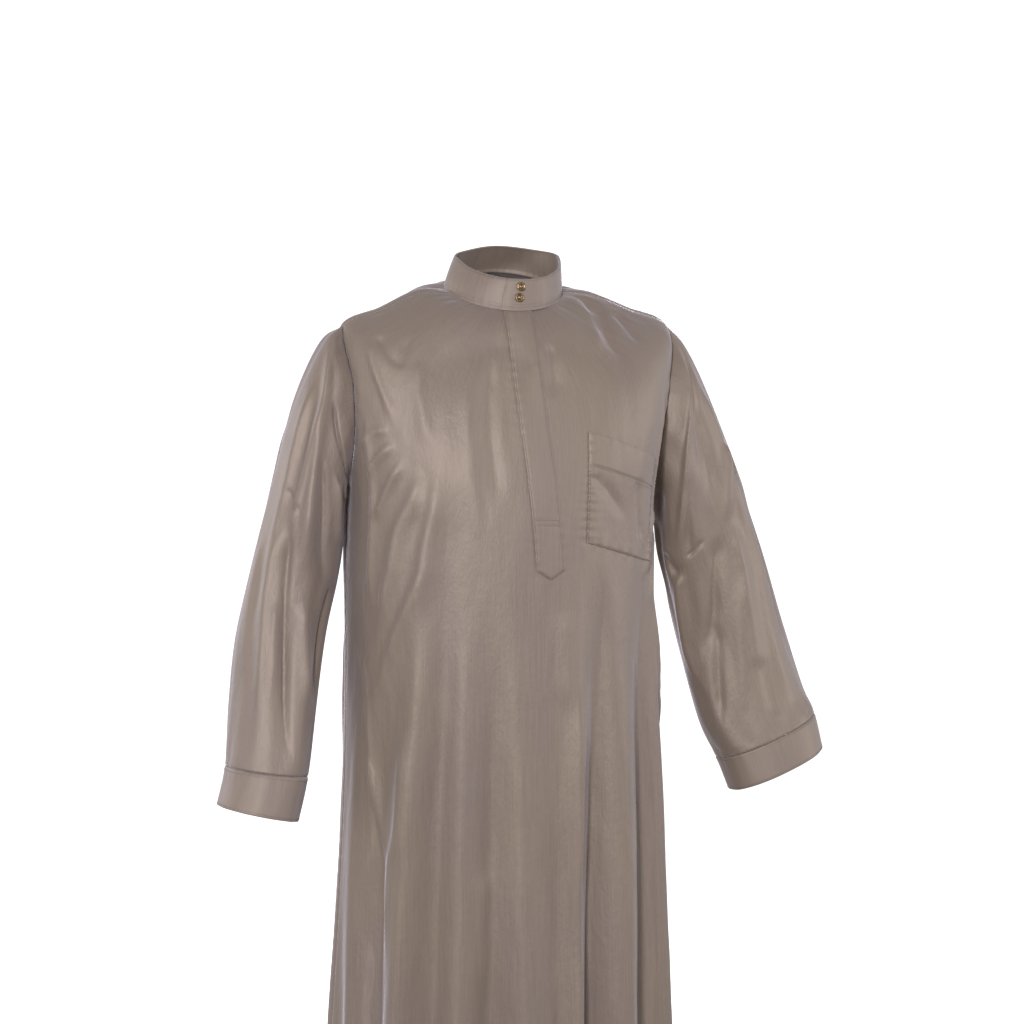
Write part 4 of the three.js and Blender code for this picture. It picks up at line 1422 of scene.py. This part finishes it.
# %% Camera
CAMERA_AZIMUTH = math.radians(-17)
CAMERA_DISTANCE = 2.93
CAMERA_TARGET = Vector((0.0105, -0.0032, -0.277))
back_off = Vector((math.sin(CAMERA_AZIMUTH), -math.cos(CAMERA_AZIMUTH), 0))
camera = bpy.data.objects.new("camera", bpy.data.cameras.new("camera"))
camera.data.lens = 85
camera.data.sensor_width = 36
camera.location = CAMERA_TARGET + back_off * CAMERA_DISTANCE
camera.rotation_mode = "QUATERNION"
camera.rotation_quaternion = (-back_off).to_track_quat("-Z", "Y")
bpy.context.scene.collection.objects.link(camera)
bpy.context.scene.camera = camera
print("camera at", [round(c, 2) for c in camera.location])

# %% [markdown]
# ## Studio floor
# A studio floor curves up into the wall behind, so that no corner shows. Here it is one profile turned
# round into a bowl, the same from every side. It glows white by itself, which gives a clean pale ground.
# Satin would pick up that glow and look flat, so the bowl is hidden from the light that the cloth gathers.

# %% Studio floor
FLOOR_GAP = 0.05
FLAT_RADIUS = 4.0
CURVE_RADIUS = 2.5
WALL_HEIGHT = 7.0
BOWL_SPANS = 64
floor_z = cad_box[0][2] - FLOOR_GAP
curve = [(FLAT_RADIUS + CURVE_RADIUS * math.sin(t), CURVE_RADIUS * (1 - math.cos(t)))
         for t in np.linspace(0.1, math.pi / 2, 12)]
profile = [(0.001, 0), (2, 0), (FLAT_RADIUS, 0), *curve, (FLAT_RADIUS + CURVE_RADIUS, WALL_HEIGHT)]
bowl = bmesh.new()
rings = []
for radius, height in profile:
    ring = []
    for a in np.linspace(0, 2 * math.pi, BOWL_SPANS, endpoint=False):
        ring.append(bowl.verts.new((radius * math.cos(a), radius * math.sin(a), floor_z + height)))
    rings.append(ring)
for lower, upper in zip(rings[:-1], rings[1:]):
    for k in range(BOWL_SPANS):
        after = (k + 1) % BOWL_SPANS
        bowl.faces.new((lower[k], lower[after], upper[after], upper[k])).smooth = True
bowl_mesh = bpy.data.meshes.new("studio_floor")
bowl.to_mesh(bowl_mesh)
bowl.free()
studio_floor = bpy.data.objects.new("studio_floor", bowl_mesh)
bpy.context.scene.collection.objects.link(studio_floor)
studio_floor.visible_diffuse = False
studio_floor.visible_glossy = False

print("floor at", round(floor_z, 3))

# %% [markdown]
# ## White ground and soft daylight
# The bowl has a white finish that glows a little. The world behind it is white as well and lights the robe
# evenly from all sides, like an overcast sky.

# %% Studio white
WORLD_LIGHT = 0.38
studio_white, shader, add, connect = material_nodes("studio_white")
shader.inputs["Base Color"].default_value = (0.9, 0.9, 0.9, 1)
shader.inputs["Roughness"].default_value = 0.9
shader.inputs["Emission Color"].default_value = (1, 1, 1, 1)
shader.inputs["Emission Strength"].default_value = 0.9
bowl_mesh.materials.append(studio_white)
world = bpy.data.worlds.new("studio")
bpy.context.scene.world = world
world.use_nodes = True
world.node_tree.nodes["Background"].inputs["Color"].default_value = (1, 1, 1, 1)
world.node_tree.nodes["Background"].inputs["Strength"].default_value = WORLD_LIGHT
print("world light at strength", WORLD_LIGHT)

# %% [markdown]
# ## Lights
# Satin shows its folds by where it shines, so the light matters as much as the cloth. One fairly small
# round lamp stands in front, up and to the left, and draws the folds. Two wider ones fill the sides, and two
# more stand behind, so that the back can be seen as well.
# The Standard view transform keeps the cloth's colour as it is, without the softening of a film look.


# %% Lights
def soft_light(name, place, aim, size, power):
    lamp = bpy.data.lights.new(name, "AREA")
    lamp.shape = "DISK"
    lamp.size = size
    lamp.energy = power
    light = bpy.data.objects.new(name, lamp)
    light.location = place
    light.rotation_mode = "QUATERNION"
    light.rotation_quaternion = (Vector(aim) - Vector(place)).to_track_quat("-Z", "Y")
    bpy.context.scene.collection.objects.link(light)


soft_light("key", (-1.5, -3.0, 0.55), (0.05, 0, -0.6), 0.5, 66)
soft_light("left", (-3.0, -0.6, 0.4), (0, 0, -0.5), 1.5, 8)
soft_light("right", (3.0, -1.4, 0.3), (0, 0, -0.5), 1.3, 31)
soft_light("back_left", (1.7, 3.0, 0.7), (0, 0, -0.6), 0.7, 48)
soft_light("back_right", (-2.6, 2.2, 0.5), (0, 0, -0.6), 1.2, 26)
bpy.context.scene.view_settings.view_transform = "Standard"
